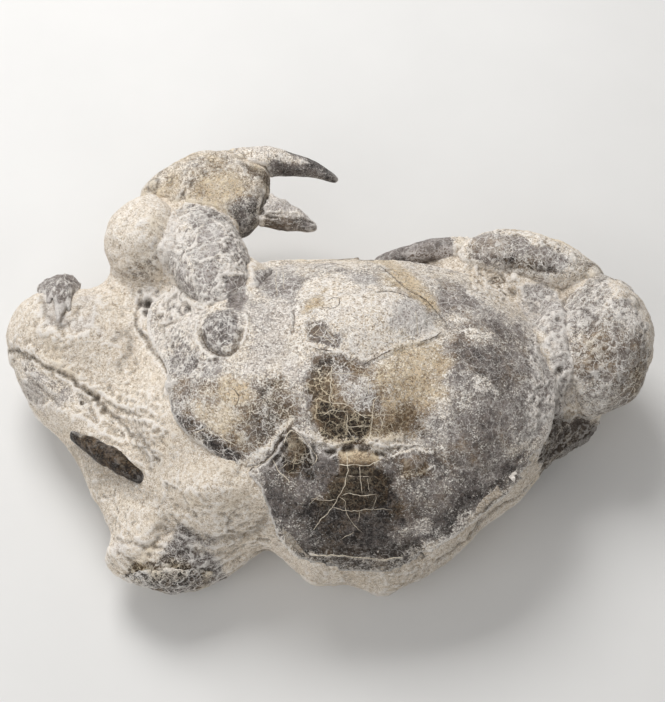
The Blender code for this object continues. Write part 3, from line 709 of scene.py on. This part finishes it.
# Stone that fills the hollows between the limbs and the shell
STONE_WEBS = (
    space(-77, 48, 52, -72, 36, 55, -60, 26, 53, -48, 30, 62, -46, 42, 60, -56, 58, 56, -64, 59, 51,
     -74, 46, 40, -56, 40, 40, -62, 24, 40),
    space(-64, 24, 51, -70, 30, 50, -46, 14, 62, -54, 10, 57, -66, 12, 49, -58, 26, 54, -62, 18, 38,
     -48, 16, 45),
    space(58, 36, 50, 84, 32, 53, 74, 18, 50, 88, 8, 47, 96, 20, 52, 60, 24, 52, 76, 26, 38, 90, 14, 36),
    space(73, 20, 55, 77, 3, 57, 75, -20, 56, 84, -26, 49, 92, -17, 51, 96, -5, 56, 97, 8, 56, 90, 20, 54,
     84, -20, 36, 84, 12, 36),
    space(-41, 50, 55, -46, 58, 54, -52, 58, 56, -44, 44, 60, -46, 50, 42),
    space(-37, 40, 59, -34, 30, 62, -32, 20, 63, -34, 12, 65, -28, 37, 50, -24, 29, 57, -22, 18, 62,
     -26, 9, 65, -36, 40, 40, -27, 36, 40, -26, 10, 50, -36, 12, 50),
    space(-66, 26, 48, -58, 14, 54, -48, 8, 61, -66, 12, 47, -72, 18, 46, -60, 2, 56, -70, 24, 38,
     -50, 8, 45),
    space(-72, 42, 61.5, -70, 35, 59, -68, 50, 60.5, -52, 46, 61.5, -52, 36, 62.5, -56, 52, 59, -66, 30, 54,
     -56, 30, 60, -60, 42, 48),
)
OPEN_STONE = ("left_claw_movable_finger", "left_claw_fixed_finger")


STONE_SPACING, STONE_MEETING = 1.42, 4.2
FILLET_STEPS, SUNK = 60, 1.9


def make_stone():
    nodes = [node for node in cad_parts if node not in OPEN_STONE]
    stone = rounded(nodes, "fossil_matrix_stone", STONE_SPACING, 1, 2, 0.0, STONE_WEBS)
    mesh = stone.data
    points = points_of(mesh)
    far = gaps(points, nodes)
    bare = far.min(1) > 0.9
    owner = far.argmin(1)
    # where two pieces meet the skin is filled, and within the other pieces it lies lower than they do
    meet = np.exp(-(np.sort(far, 1)[:, 1] / STONE_MEETING) ** 2)
    meet[bare] = np.maximum(meet[bare], 0.7)
    within = 1.0 + 0.4 * (owner == nodes.index("carapace"))
    within[bare | (owner == nodes.index("matrix_stone"))] = 0.0
    within = spread(mesh, (within * (1.0 - meet))[:, None], 3)[:, 0]
    mean = neighbours(mesh)
    for _ in range(FILLET_STEPS):
        points += 0.5 * meet[:, None] * (np.stack([mean(points[:, k]) for k in range(3)], 1) - points)
    set_points(mesh, points)
    points = points - normals_of(mesh) * (SUNK * within)[:, None]
    set_points(mesh, points)
    finer(mesh, (normals_of(mesh)[:, 2] > 0.0) & (points[:, 2] > 14) & (within < 0.35))
    points, normals = points_of(mesh), normals_of(mesh)
    x, y, z = points.T
    marks = painted(points, STONE_BASE, STONE_PATCHES)
    c, s = math.cos(math.radians(-35)), math.sin(math.radians(-35))
    streaked = np.stack((c * x + s * y, c * y - s * x, z), 1)
    strip = patch(points, STONE_PATCHES[0][0], 0.8, 1.0, 3)
    lump = smooth(y, -46, -54) * (1 - smooth(x, -26, -18))
    bevel = smooth(x, -12, 0) * (1 - smooth(y, -80, -72))
    ledge = smooth(y, -58, -66) * (1 - smooth(x, -24, -16))
    crumbly = patch(points, plan(-92, -19, -78, -14, -62, -26, -56, -44, -72, -50, -88, -32), 4, 2, 8)
    ends = patch(points, plan(78, -24, 96, -20, 106, -22, 104, -36, 84, -44, 72, -42), 3, 2, 4)
    height = weathered(points, marks, 7) * np.clip(marks["net"] + marks["plates"], 0.0, 1.0)
    lumps = (0.5 + 0.35 * bevel - 0.25 * strip) * crumble(points, 7.0, 3, 6, 0.6)
    height += 0.7 * crumble(points, 17.0, 2, 1) + lumps
    height += (0.20 - 0.08 * strip + 0.06 * bevel) * crumble(points, 1.9, 2, 12, 0.9)
    height += strip * (0.5 * crumble(streaked * (0.12, 1.0, 0.6), 1.6, 3, 9) - 1.2)
    height += lump * (1.0 * plates(points, 13.0, 91)[0] + 0.3 * plates(points, 5.0, 95)[0])
    height += 0.9 * crumbly * crests(streaked * (0.35, 1.0, 0.6), 3.0, 3, 15, 2.0)
    height += 0.5 * ledge * crumble(points * (0.3, 0.3, 1.0), 1.8, 2, 27)
    height += 1.2 * ends * crests(points, 5.0, 3, 33, 2.0)
    grooves, soil, _ = lined(points, STONE_LINES, 1.3)
    marks["soil"] = np.maximum(marks["soil"], soil)
    height += grooves
    for *spot, size, rise in STONE_PITS:
        near = np.exp(-(np.linalg.norm(points - spot, axis=1) / size) ** 4)
        height += rise * near
        # a pit is darkened with soil and painted shade
        marks["soil"] = np.maximum(marks["soil"], near * (0.85 if rise < 0 else 0.0))
    finished(stone, points, normals, height * smooth(z, 0.3, 6.0), marks, 0.45)
    return stone


# Claws and legs: spacing of the faces, slot, marks, the size and height of their lumps, and patches
CLAWS = {
    "left_claw_arm": (0.6, GREY_SHELL, look(0.35, 0.39, 0.1, 1.0, net=0.45, plates=0.35), 8, 0.5, (
        (plan(-52, 41, -47, 48, -42, 43, -40, 39, -45, 34, -50, 35),
         0.8, 0.8, look(0.22, 0.22, 0.05, net=0.2, plates=0.15)),
        (plan(-53, 32, -49, 34, -43, 36, -42, 33, -44, 29, -49, 27, -53, 29),
         0.8, 0.6, look(0.2, 0.2, 0.05, net=0.1, plates=0.1)),
        (plan(-51, 24, -45, 27, -43, 22, -48, 18), 0.8, 0.8, look(0.25, 0.24, 0.1, net=0.2, plates=0.1)),
        (plan(-59, 30, -54, 28, -53, 23, -58, 24), 0.8, 0.8, look(0.3, 0.28, net=0.1)),
        (plan(-40, 39, -36, 36, -36, 32, -40, 33), 0.6, 0.6, look(0.24, 0.24, net=0.1)),
        (plan(-63, 27, -53, 20, -50, 14, -60, 17), 1.0, 0.8, look(0.15, 0.38, 0.05, net=0.1, plates=0.1)),
        (plan(-41, 20.5, -33, 22.5, -31, 10, -38, 8), 0.8, 0.6, look(0.0, 0.42, 0.2, net=0.0, plates=0.1)),
        # painted shade in the cleft between the arm and the palm
        (plan(-51, 55, -45, 57, -41, 52, -41, 46, -46, 48), 1.5, 1.5, look(0.3, 0.65, soil=0.2)))),
    "left_claw_wrist": (0.65, PALE_SHELL, look(0.95, 0.2, 0.5, 0.3, net=0.1), 10, 0.9, (
        # darker along the lower edge: painted shade where the wrist turns from the light, with nets of filled
        # cracks
        (plan(-92, 34, -76, 34, -64, 35, -60, 22, -92, 22), 3, 2.5, look(0.5, 0.5, veins=0.8, net=0.3)),
        (plan(-72, 48, -62, 48, -60, 32, -69, 30),
         2.5, 2, look(0.55, 0.4, veins=0.9, net=0.7, plates=0.25)))),
    "left_claw_palm": (0.6, PALE_SHELL, look(0.55, 0.48, 0.6, 0.4), 9, 0.8, (
        (plan(-51, 66, -44, 69, -37, 66, -38, 59, -46, 56, -52, 61), 3, 2, look(0.5, 0.12, 0.9)),
        # painted shade on the lower side of the palm, which has filled cracks too
        (plan(-44, 55, -36, 58, -24, 61, -22, 46, -40, 44), 3, 2, look(0.16, 0.9, 0.4, 0.6)),
        # painted shade in the hollow under the base of the finger
        (plan(-37, 75.5, -30, 75.5, -23, 74.5, -24, 69, -31, 71), 1.0, 0.8, look(0.3, 0.65, 0.6, soil=0.3)),
        (plan(-70, 66, -62, 70, -60, 66, -68, 61), 2, 1.5, look(0.5, 0.4, 0.8)))),
    "left_claw_movable_finger": (0.45, BROWN_SHELL, look(0.66, 0.5, 0.25, 0.2), 6, 0.3, (
        (plan(-18, 92, -17, 84, -11, 80, -14, 76, -20, 70, 8, 64, 8, 92), 1.5, 1.5, look(0.1, 0.84, 0.15)),
        (plan(-26, 78.3, -14, 79, -4, 77, -4, 68, -30, 70), 1, 0.8, look(0.2, 0.72)),
        (plan(-30, 83, -22, 82.6, -14, 81.4, -8, 79.6, -13, 79.4, -22, 80.4, -30, 81),
         0.6, 0.5, look(0.6, warm=0.2)))),
    "left_claw_fixed_finger": (0.45, GREY_SHELL, look(0.48, 0.1, 0.12, 0.2), 7, 0.6, (
        # painted shade along the lower side of the fixed finger
        (plan(-27, 55.5, -21, 55.5, -14, 56.5, -6, 56, -4, 46, -29, 46), 0.8, 0.8, look(0.25, 0.7, 0.3)),)),
    "right_claw_palm": (0.65, GREY_SHELL, look(0.42, 0.45, 0.3, 0.9, net=0.3, plates=0.1), 8, 1.0, (
        (plan(94, 7, 104, 8, 112, 5, 121, -1, 122, -12, 112, -23, 100, -26, 91, -17, 89, -6),
         2, 2.5, look(0.33, 0.54, 0.5, 0.9, net=0.1, plates=0.0)),
        (plan(103, -9, 116, -6, 121, -14, 108, -26), 2.5, 2, look(0.28, 0.6, 0.55)),
        (plan(106, 26, 118, 20, 125, 8, 125, -12, 121, -8, 117, 6, 106, 16),
         1.5, 2, look(1.05, 0.1, 0.6, 0.4)))),
    "right_claw_arm": (0.6, BROWN_SHELL, look(0.56, 0.45, 0.4, 0.5, net=0.3, plates=0.2), 8, 0.7, (
        (plan(53, 36, 55, 47, 62, 46, 76, 41, 91, 34, 88, 28, 72, 31, 61, 33),
         1, 1.5, look(0.32, 0.46, 0.3, 0.8, net=0.0, plates=0.0)),
        # a thin painted shadow under the lower edge of the dark plate
        (plan(60, 36, 76, 33, 86, 31, 86, 28, 70, 31), 1, 1, look(0.14, 0.8, 0.4)),
        (plan(54, 51, 66, 50, 82, 44, 98, 35, 104, 38, 80, 56, 54, 58),
         1, 0.8, look(0.8, warm=0.7, net=0.0, plates=0.0)))),
    "front_right_leg": (0.5, BROWN_SHELL, look(0.16, 0.56, -0.2, 0.3), 6, 0.4, (
        (plan(27, 41, 38, 41.5, 47, 42.5, 48, 40, 30, 38), 0.7, 0.5, look(0.0, -0.05)),
        (plan(47, 52, 55, 52, 55, 34, 49, 34), 1, 1, look(0.85, warm=0.5, plates=0.6)))),
    "front_left_leg_stub": (0.3, BROWN_SHELL, look(0.2, 0.55, 0.0, 0.3), 4, 0.4, ()),
    "rear_left_leg": (0.45, BROWN_SHELL, look(-0.2, 0.95, 0.6), 4, 0.4, ()),
    "hind_left_leg": (0.5, BROWN_SHELL, look(0.04, 0.92, 0.6, 0.9, net=0.2, plates=0.3), 6, 0.8, ()),
}
# Grooves of the claws in space, and their knobs: where, how wide, how high
CLAW_LINES = (
    (space(-58, 62, 56, -59, 57, 55), 1.2, -2.0), (space(-26, 68, 51, -27, 63, 52, -28, 57, 51), 1.0, -1.4),
    (space(-53, 32, 65, -49, 34, 65, -43, 36, 65, -40, 34, 65), 0.5, 0.6),
    (space(-53, 29, 64, -49, 27, 66, -44, 29, 67, -41, 32, 65), 0.5, 0.5),
    (space(-52, 41, 64, -47, 48, 61, -42, 43, 63, -40, 39, 63, -45, 34, 65), 0.6, 0.6),
    (space(-36, 45, 60, -37, 39, 63, -35, 34, 62), 0.6, 0.6),
    (space(-60, 44, 60, -57, 34, 62, -60, 26, 56), 0.8, 0.6),
    (space(-63, 27, 46, -60, 18, 48, -51, 15, 54), 0.6, 0.6),
    (space(-42, 20.5, 66, -36, 22, 65, -32, 23.5, 61), 0.7, 1.0),
    (space(-41, 18, 66, -36, 19.5, 65, -33, 21, 62), 0.6, -0.8),
    (space(-68, 68, 53, -74, 58, 50, -76, 52, 46), 1.2, -1.0),
    (space(-24, 77, 49, -13, 77.5, 49, -6, 76.5, 48, -1, 75.5, 47), 0.5, -0.5),
    (space(-27, 57.5, 51, -21, 58, 50, -15, 59, 49, -7, 58, 47), 0.5, 0.5),
    (space(-27, 55.5, 51, -21, 56, 49, -15, 57, 48, -7, 56, 46), 0.5, -0.8),
    (space(54, 36, 50, 65, 32, 52, 84, 29, 55, 92, 26, 55), 0.8, -0.5),
    (space(56, 47.5, 55, 66, 47, 56, 80, 42, 56, 93, 34, 55), 0.9, 0.7),
    (space(94, 12, 58, 98, 6, 61, 93, 0, 60, 88, -8, 55), 1.0, -0.8),
    (space(84, 7, 44, 87, 10, 51), 1.8, -2.0),
)
CLAW_KNOBS = (
    (-71, 69, 53, 1.6, 1.0), (-64, 69, 56, 0.7, 0.6), (-58, 71, 58, 0.8, 0.7), (-50, 70, 59, 0.7, 0.6),
    (-45, 72, 59, 0.8, 0.6), (-54, 74, 58, 0.7, 0.5), (-48, 77, 58, 0.7, 0.5), (-43, 79, 57, 0.8, 0.6),
    (-37, 80, 55, 1.3, 1.0), (-40, 84, 53, 1.4, 1.0), (-62, 74, 55, 0.7, 0.5), (-30, 73, 55, 2.4, -0.8),
    (100, 15, 59, 3.0, -1.6), (101, 29, 52, 2.8, 1.6), (-55, 66, 58, 0.6, 0.4), (-66, 62, 54, 1.2, -0.8),
    (-34, 42, 58, 2.6, -1.8), (-33, 28, 60, 2.2, -1.2), (107, 2, 60, 2.0, -0.8), (112, 14, 57, 2.0, 0.9),
    (96, 22, 54, 1.8, -1.0), (-28, 66, 52, 1.8, 0.8),
)


CLAW_SWELL, SUNK_SWELL, CLAW_MEETING = 0.4, -0.7, 2.2


def make_claw(node):
    spacing, slot, base, lump, rise, patches = CLAWS[node]
    stub = node == "front_left_leg_stub"
    swell = SUNK_SWELL if node == "hind_left_leg" else CLAW_SWELL
    claw = rounded([node], "fossil_" + node, spacing, swell=swell)
    points = points_of(claw.data)
    if stub:
        # its lower end is drawn out along the top of the stone
        low = np.clip((31.5 - points[:, 1]) / 5.0, 0.0, 1.0)
        points[:, 0] += 0.38 * low * (-101.5 - points[:, 0])
        points[:, 1] -= 17.0 * low ** 2
        points[:, 2] += 7.8 * low ** 0.8
        set_points(claw.data, points)
    normals = normals_of(claw.data)
    marks = painted(points, base, patches, 60)
    others = [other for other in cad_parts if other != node]
    meet = np.exp(-(gaps(points, others, 6.0).min(1) / CLAW_MEETING) ** 2)
    marks["crust"] += (0.1 if stub else 0.35) * meet
    height = weathered(points, marks) + rise * crumble(points, lump, 3, 3)
    if node == "left_claw_fixed_finger":
        height += 0.4 * crumble(points * (0.25, 1.0, 1.0), 1.8, 3, 8)
        height += 0.7 * smooth(points[:, 1], 60, 66) * crumble(points, 3.0, 2, 9)
    if node == "rear_left_leg":
        height += 0.35 * crumble(points * (0.3, 0.3, 1.0), 1.2, 3, 8)
    if stub:
        height += 0.5 * crests(points * (1.0, 0.25, 0.5), 2.6, 2, 8, 2.0)
    grooves, soil, crust = lined(points, CLAW_LINES, 0.6)
    height += grooves
    marks["soil"] = np.maximum(marks["soil"], soil)
    marks["crust"] += 0.8 * crust
    for *spot, size, bump in CLAW_KNOBS:
        far = np.linalg.norm(points - spot, axis=1)
        height += bump * np.exp(-(far / size) ** 2)
        if bump > 0:
            # a knob has a shallow dent, and a little soil and painted shade round its foot
            height -= 0.15 * np.exp(-((far - 1.9 * size) / (0.6 * size)) ** 2)
            foot = 0.4 * np.exp(-((far - 1.6 * size) / (0.5 * size)) ** 2)
            marks["soil"] = np.maximum(marks["soil"], foot)
    finished(claw, points, normals, height, marks)
    return claw, slot


# Finishes
def tone(red, green, blue):
    """A colour as it looks on a colour card, ready for a shader."""
    parts = [v / 255 for v in (red, green, blue)]
    return tuple(v / 12.92 if v <= 0.04045 else ((v + 0.055) / 1.055) ** 2.4 for v in parts) + (1.0,)


class Wire:
    """One value in a finish; a sum on it adds the nodes that work it out."""

    def __init__(self, finish, socket):
        self.finish, self.socket = finish, socket

    def worked(self, operation, first, second):
        return self.finish.node("ShaderNodeMath", {"operation": operation}, {0: first, 1: second})

    def __add__(self, other):
        return self.worked("ADD", self, other)

    __radd__ = __add__

    def __sub__(self, other):
        return self.worked("SUBTRACT", self, other)

    def __rsub__(self, other):
        return self.worked("SUBTRACT", other, self)

    def __mul__(self, other):
        return self.worked("MULTIPLY", self, other)

    __rmul__ = __mul__


class Finish:
    """A material built up from nodes."""

    def __init__(self, name):
        self.material = bpy.data.materials.new(name)
        self.material.use_nodes = True
        self.tree = self.material.node_tree
        self.tree.nodes.clear()
        spot = self.node("ShaderNodeTexCoord", out="Object")
        self.place = self.node("ShaderNodeVectorMath", {"operation": "SCALE"}, {0: spot, "Scale": 1.0 / MM})

    def node(self, kind, settings=None, inputs=None, out=0):
        made = self.tree.nodes.new(kind)
        for name, value in (settings or {}).items():
            if name == "stops":
                stops = made.color_ramp.elements
                while len(stops) < len(value):
                    stops.new(1.0)
                for stop, (at, colour) in zip(stops, value):
                    stop.position, stop.color = at, colour
            else:
                setattr(made, name, value)
        for name, value in (inputs or {}).items():
            if isinstance(value, Wire):
                self.tree.links.new(value.socket, made.inputs[name])
            else:
                made.inputs[name].default_value = value
        return Wire(self, made.outputs[out]) if made.outputs else made

    def mark(self, name):
        return self.node("ShaderNodeAttribute", {"attribute_name": name}, out="Fac")

    def shifted(self, x, y, z):
        return self.node("ShaderNodeVectorMath", {"operation": "ADD"}, {0: self.place, 1: (x, y, z)})

    def cloud(self, size, detail=2.0, rough=0.6, place=None, out="Fac"):
        """Soft blotches about this many millimetres across."""
        return self.node("ShaderNodeTexNoise", {}, {"Vector": place or self.place, "Scale": 1.0 / size,
                                                    "Detail": detail, "Roughness": rough}, out)

    def sand(self, size, place=None):
        """A number for each grain of sand of this size, any from 0 to 1."""
        inputs = {"Vector": place or self.place, "Scale": 1.0 / size}
        grains = self.node("ShaderNodeTexVoronoi", {}, inputs, "Color")
        return self.node("ShaderNodeSeparateColor", {}, {0: grains})

    def step(self, value, low, high):
        settings = {"interpolation_type": "SMOOTHSTEP"}
        return self.node("ShaderNodeMapRange", settings, {0: value, 1: low, 2: high})

    def thread(self, value, width):
        """1 where a cloud crosses its middle, which draws thin wandering lines."""
        off = self.node("ShaderNodeMath", {"operation": "ABSOLUTE"}, {0: value - 0.5})
        return 1.0 - self.step(off, 0.0, width)

    def mix(self, share, first, second):
        settings = {"data_type": "RGBA", "clamp_factor": True}
        return self.node("ShaderNodeMix", settings, {0: share, 6: first, 7: second}, 2)

    def ramp(self, value, *stops):
        return self.node("ShaderNodeValToRGB", {"stops": stops}, {0: value})


CRUST_WHITE, CRUST_PALE, CRUST_TAN = tone(250, 245, 236), tone(226, 214, 198), tone(184, 168, 148)
# the dark colour laid where the soil mark is: soil and painted shade
CRUST_PEPPER, SOIL_AND_SHADOW = tone(96, 84, 70), tone(62, 53, 44)
OCHRE, BROWN = tone(218, 196, 164), tone(116, 96, 74)
DARK_BROWN, DOT_BROWN = tone(28, 20, 13), tone(84, 62, 38)
PALE_GREY, GREY, DARK_GREY = tone(196, 189, 185), tone(120, 112, 108), tone(34, 30, 29)
CALCITE, FROST, FLECK_CREAM = tone(236, 226, 206), tone(240, 235, 229), tone(238, 222, 192)


def fossil_finish(name, gloss=0.45, bumps=0.0004, grit=0.40, speckle=1.0):
    """Shell under a broken crust of pale stone, each as thick as the piece's marks say."""
    f = Finish(name)
    crust, shade, warm, soil = f.mark("crust"), f.mark("shade"), f.mark("warm"), f.mark("soil")
    sand, coarse_sand = f.sand(grit), f.sand(1.5 * grit, f.shifted(17, 3, 29))
    fine, coarse = f.cloud(0.55, 3.0, 0.7), f.cloud(1.8, 4.0, 0.7)
    broad = f.cloud(5.0, 4.0, 0.65, f.shifted(-13, 55, 5))
    # bare shell, from light to dark, grey or brown
    depth = shade + (coarse - 0.5) * 0.9 + (sand - 0.5) * 0.28 + (fine - 0.5) * 0.5
    grey = f.ramp(depth, (0.0, PALE_GREY), (0.5, GREY), (1.0, DARK_GREY))
    brown = f.ramp(depth, (0.0, OCHRE), (0.5, BROWN), (1.0, DARK_BROWN))
    shell = f.mix(f.step(warm + (broad - 0.5) * 0.9, 0.2, 0.75), grey, brown)
    dots = f.step(f.sand(1.25 * grit, f.shifted(41, 7, 13)), 0.66, 0.74) * (1.0 - shade)
    shell = f.mix(dots * 0.8, shell, DOT_BROWN)
    fleck = f.mix(f.step(warm, 0.5, 0.9), FROST, FLECK_CREAM)
    # crust of sand grains, each of its own tone
    tones = sand * 0.60 + coarse_sand * 0.26 - 0.43 + (coarse - 0.5) * 0.8 + (broad - 0.5) * 0.4
    tones = tones * speckle + 0.46
    stone = f.ramp(tones, (0.0, CRUST_PEPPER), (0.24, CRUST_TAN), (0.50, CRUST_PALE), (0.84, CRUST_WHITE))
    stone = f.mix(f.step(warm + (broad - 0.5) * 0.5, 0.4, 1.0) * 0.3, stone, OCHRE)
    cool = f.ramp(tones, (0.0, GREY), (0.45, PALE_GREY), (0.9, FROST))
    stone = f.mix((1.0 - f.step(warm, 0.08, 0.35)) * 0.55, stone, cool)
    cover = f.step(crust + (sand - 0.5) * 0.40 + (fine - 0.5) * 0.6 + (coarse - 0.5) * 0.4, 0.30, 0.68)
    colour = f.mix(cover, shell, stone)
    # threads of white mineral, and two nets of fine filled cracks
    threads = f.thread(f.cloud(3.2, 3.0, 0.6, f.shifted(5, 5, 70)), 0.03) * f.step(coarse, 0.44, 0.58)
    warp = {0: f.cloud(2.4, 3.0, 0.6, None, "Color"), 1: (3.6, 3.6, 3.6), 2: f.place}
    bent = f.node("ShaderNodeVectorMath", {"operation": "MULTIPLY_ADD"}, warp)
    edges = {"feature": "DISTANCE_TO_EDGE"}
    net = f.node("ShaderNodeTexVoronoi", edges, {"Vector": bent, "Scale": 0.24})
    small = f.node("ShaderNodeTexVoronoi", edges, {"Vector": bent, "Scale": 0.62})
    broken = f.step(broad, 0.40, 0.56)
    cracks = (1.0 - f.step(net, 0.008, 0.048)) * f.mark("veins")
    cracks = cracks + (1.0 - f.step(small, 0.03, 0.10)) * broken * f.mark("veins") * 0.55
    colour = f.mix(threads * f.step(crust, 0.1, 0.4) * 0.45, colour, FROST)
    colour = f.mix(cracks * 0.9, colour, fleck)
    colour = f.mix(f.step(sand, 0.90, 0.96) * (0.10 + crust), colour, fleck)
    worn = 1.0 - f.step(f.mark("hollow"), 0.12, 0.42)
    colour = f.mix(worn * f.step(crust, -0.1, 0.3) * 0.6, colour, fleck)
    # soil and painted shade darken hollows, grooves and shaded places
    dirt_and_shadow = soil + (f.step(fine, 0.56, 0.7) * 0.4 + (coarse_sand - 0.5) * 0.4) * f.step(soil, 0.0, 0.3)
    colour = f.mix(dirt_and_shadow, colour, SOIL_AND_SHADOW)
    rough = gloss + cover * (0.92 - gloss) + (coarse - 0.5) * 0.25
    height = cover * 0.5 + coarse * 0.8 + fine * 0.6 + cracks * 0.3 + sand * 0.35
    bump = f.node("ShaderNodeBump", {}, {"Strength": 1.0, "Distance": bumps, "Height": height})
    skin = f.node("ShaderNodeBsdfPrincipled", {}, {"Base Color": colour, "Roughness": rough, "Normal": bump,
                                                   "Specular IOR Level": 0.2})
    f.node("ShaderNodeOutputMaterial", {}, {0: skin})
    return f.material


def thread_finish(name, clean, dull, flecks):
    """Mineral that fills a thin crack, or the soil and painted shade in one, duller in places."""
    f = Finish(name)
    soft, fine = f.cloud(1.4, 3.0), f.sand(0.35)
    colour = f.mix(f.step(soft, 0.35, 0.62), dull, clean)
    colour = f.mix(f.step(fine, 0.70, 0.9) * 0.6, colour, flecks)
    bump = f.node("ShaderNodeBump", {}, {"Strength": 0.7, "Distance": 0.0002, "Height": soft + fine * 0.4})
    skin = f.node("ShaderNodeBsdfPrincipled", {}, {"Base Color": colour, "Roughness": 0.55 + soft * 0.3,
                                                   "Normal": bump})
    f.node("ShaderNodeOutputMaterial", {}, {0: skin})
    return f.material


def wear(piece, material):
    piece.data.materials.clear()
    piece.data.materials.append(material)


# The studio, in metres. The camera looks down at 65 degrees
AIM, CAMERA = Vector((0.0, 0.0, 0.045)), Vector((0.0, -0.21359, 0.50305))
LIGHTS = {
    "high_light": ((-0.22, 0.52, 0.72), 0.40, 6.7),
    "front_light": ((-0.45, -0.50, 0.55), 0.8, 2.8),
}
AIR_BRIGHTNESS, FLOOR_SIZE = 0.41, 3.0


def make_studio():
    scene = bpy.context.scene
    scene.view_settings.view_transform = "Standard"
    lens = bpy.data.cameras.new("view")
    lens.lens, lens.sensor_width = 68.2, 36.0
    lens.clip_start, lens.clip_end = 0.01, 20.0
    camera = bpy.data.objects.new("view", lens)
    camera.location = CAMERA
    camera.rotation_euler = (AIM - CAMERA).to_track_quat("-Z", "Y").to_euler()
    scene.collection.objects.link(camera)
    scene.camera = camera
    for name, (spot, size, power) in LIGHTS.items():
        lamp = bpy.data.lights.new(name, "AREA")
        lamp.energy, lamp.size = power, size
        holder = bpy.data.objects.new(name, lamp)
        holder.location = spot
        holder.rotation_euler = (AIM - Vector(spot)).to_track_quat("-Z", "Y").to_euler()
        scene.collection.objects.link(holder)
    air = bpy.data.worlds.new("studio_air")
    air.use_nodes = True
    sky = air.node_tree.nodes["Background"].inputs
    sky["Color"].default_value, sky["Strength"].default_value = tone(240, 239, 238), AIR_BRIGHTNESS
    scene.world = air
    soup = bmesh.new()
    bmesh.ops.create_grid(soup, x_segments=2, y_segments=2, size=FLOOR_SIZE)
    mesh = bpy.data.meshes.new("studio_floor")
    soup.to_mesh(mesh)
    soup.free()
    floor = bpy.data.objects.new("studio_floor", mesh)
    scene.collection.objects.link(floor)
    f = Finish("studio_paper")
    paper = f.mix(f.cloud(60.0, 3.0), tone(214, 213, 211), tone(222, 221, 219))
    skin = f.node("ShaderNodeBsdfPrincipled", {}, {"Base Color": paper, "Roughness": 0.9})
    f.node("ShaderNodeOutputMaterial", {}, {0: skin})
    wear(floor, f.material)


FINISHES = {
    SANDSTONE: fossil_finish("sandstone_grain", 0.8, 0.0004, 0.34, 0.72),
    BROWN_SHELL: fossil_finish("brown_shell_under_crust"),
    GREY_SHELL: fossil_finish("grey_shell_under_crust", 0.5, 0.0004, 0.38, 0.9),
    PALE_SHELL: fossil_finish("weathered_shell_under_crust", 0.6, 0.0004, 0.34, 0.8),
}
make_studio()
shell = make_shell()
wear(shell, FINISHES[BROWN_SHELL])
settle(shell, BROWN_SHELL, ["carapace"])
veins = make_threads(shell, "calcite_veins", VEINS)
wear(veins, thread_finish("cream_calcite", CALCITE, tone(190, 178, 160), CRUST_TAN))
settle(veins, BROWN_SHELL)
# dark threads along the hairline cracks: soil and painted shade
hairlines = make_threads(shell, "hairline_cracks", SHELL_CRACKS)
wear(hairlines, thread_finish("crack_soil_and_shadow", tone(58, 50, 42), tone(96, 84, 72), CRUST_TAN))
settle(hairlines, BROWN_SHELL)
stone = make_stone()
wear(stone, FINISHES[SANDSTONE])
settle(stone, SANDSTONE, ["matrix_stone"])
for node in CLAWS:
    claw, slot = make_claw(node)
    wear(claw, FINISHES[slot])
    settle(claw, slot, [node])
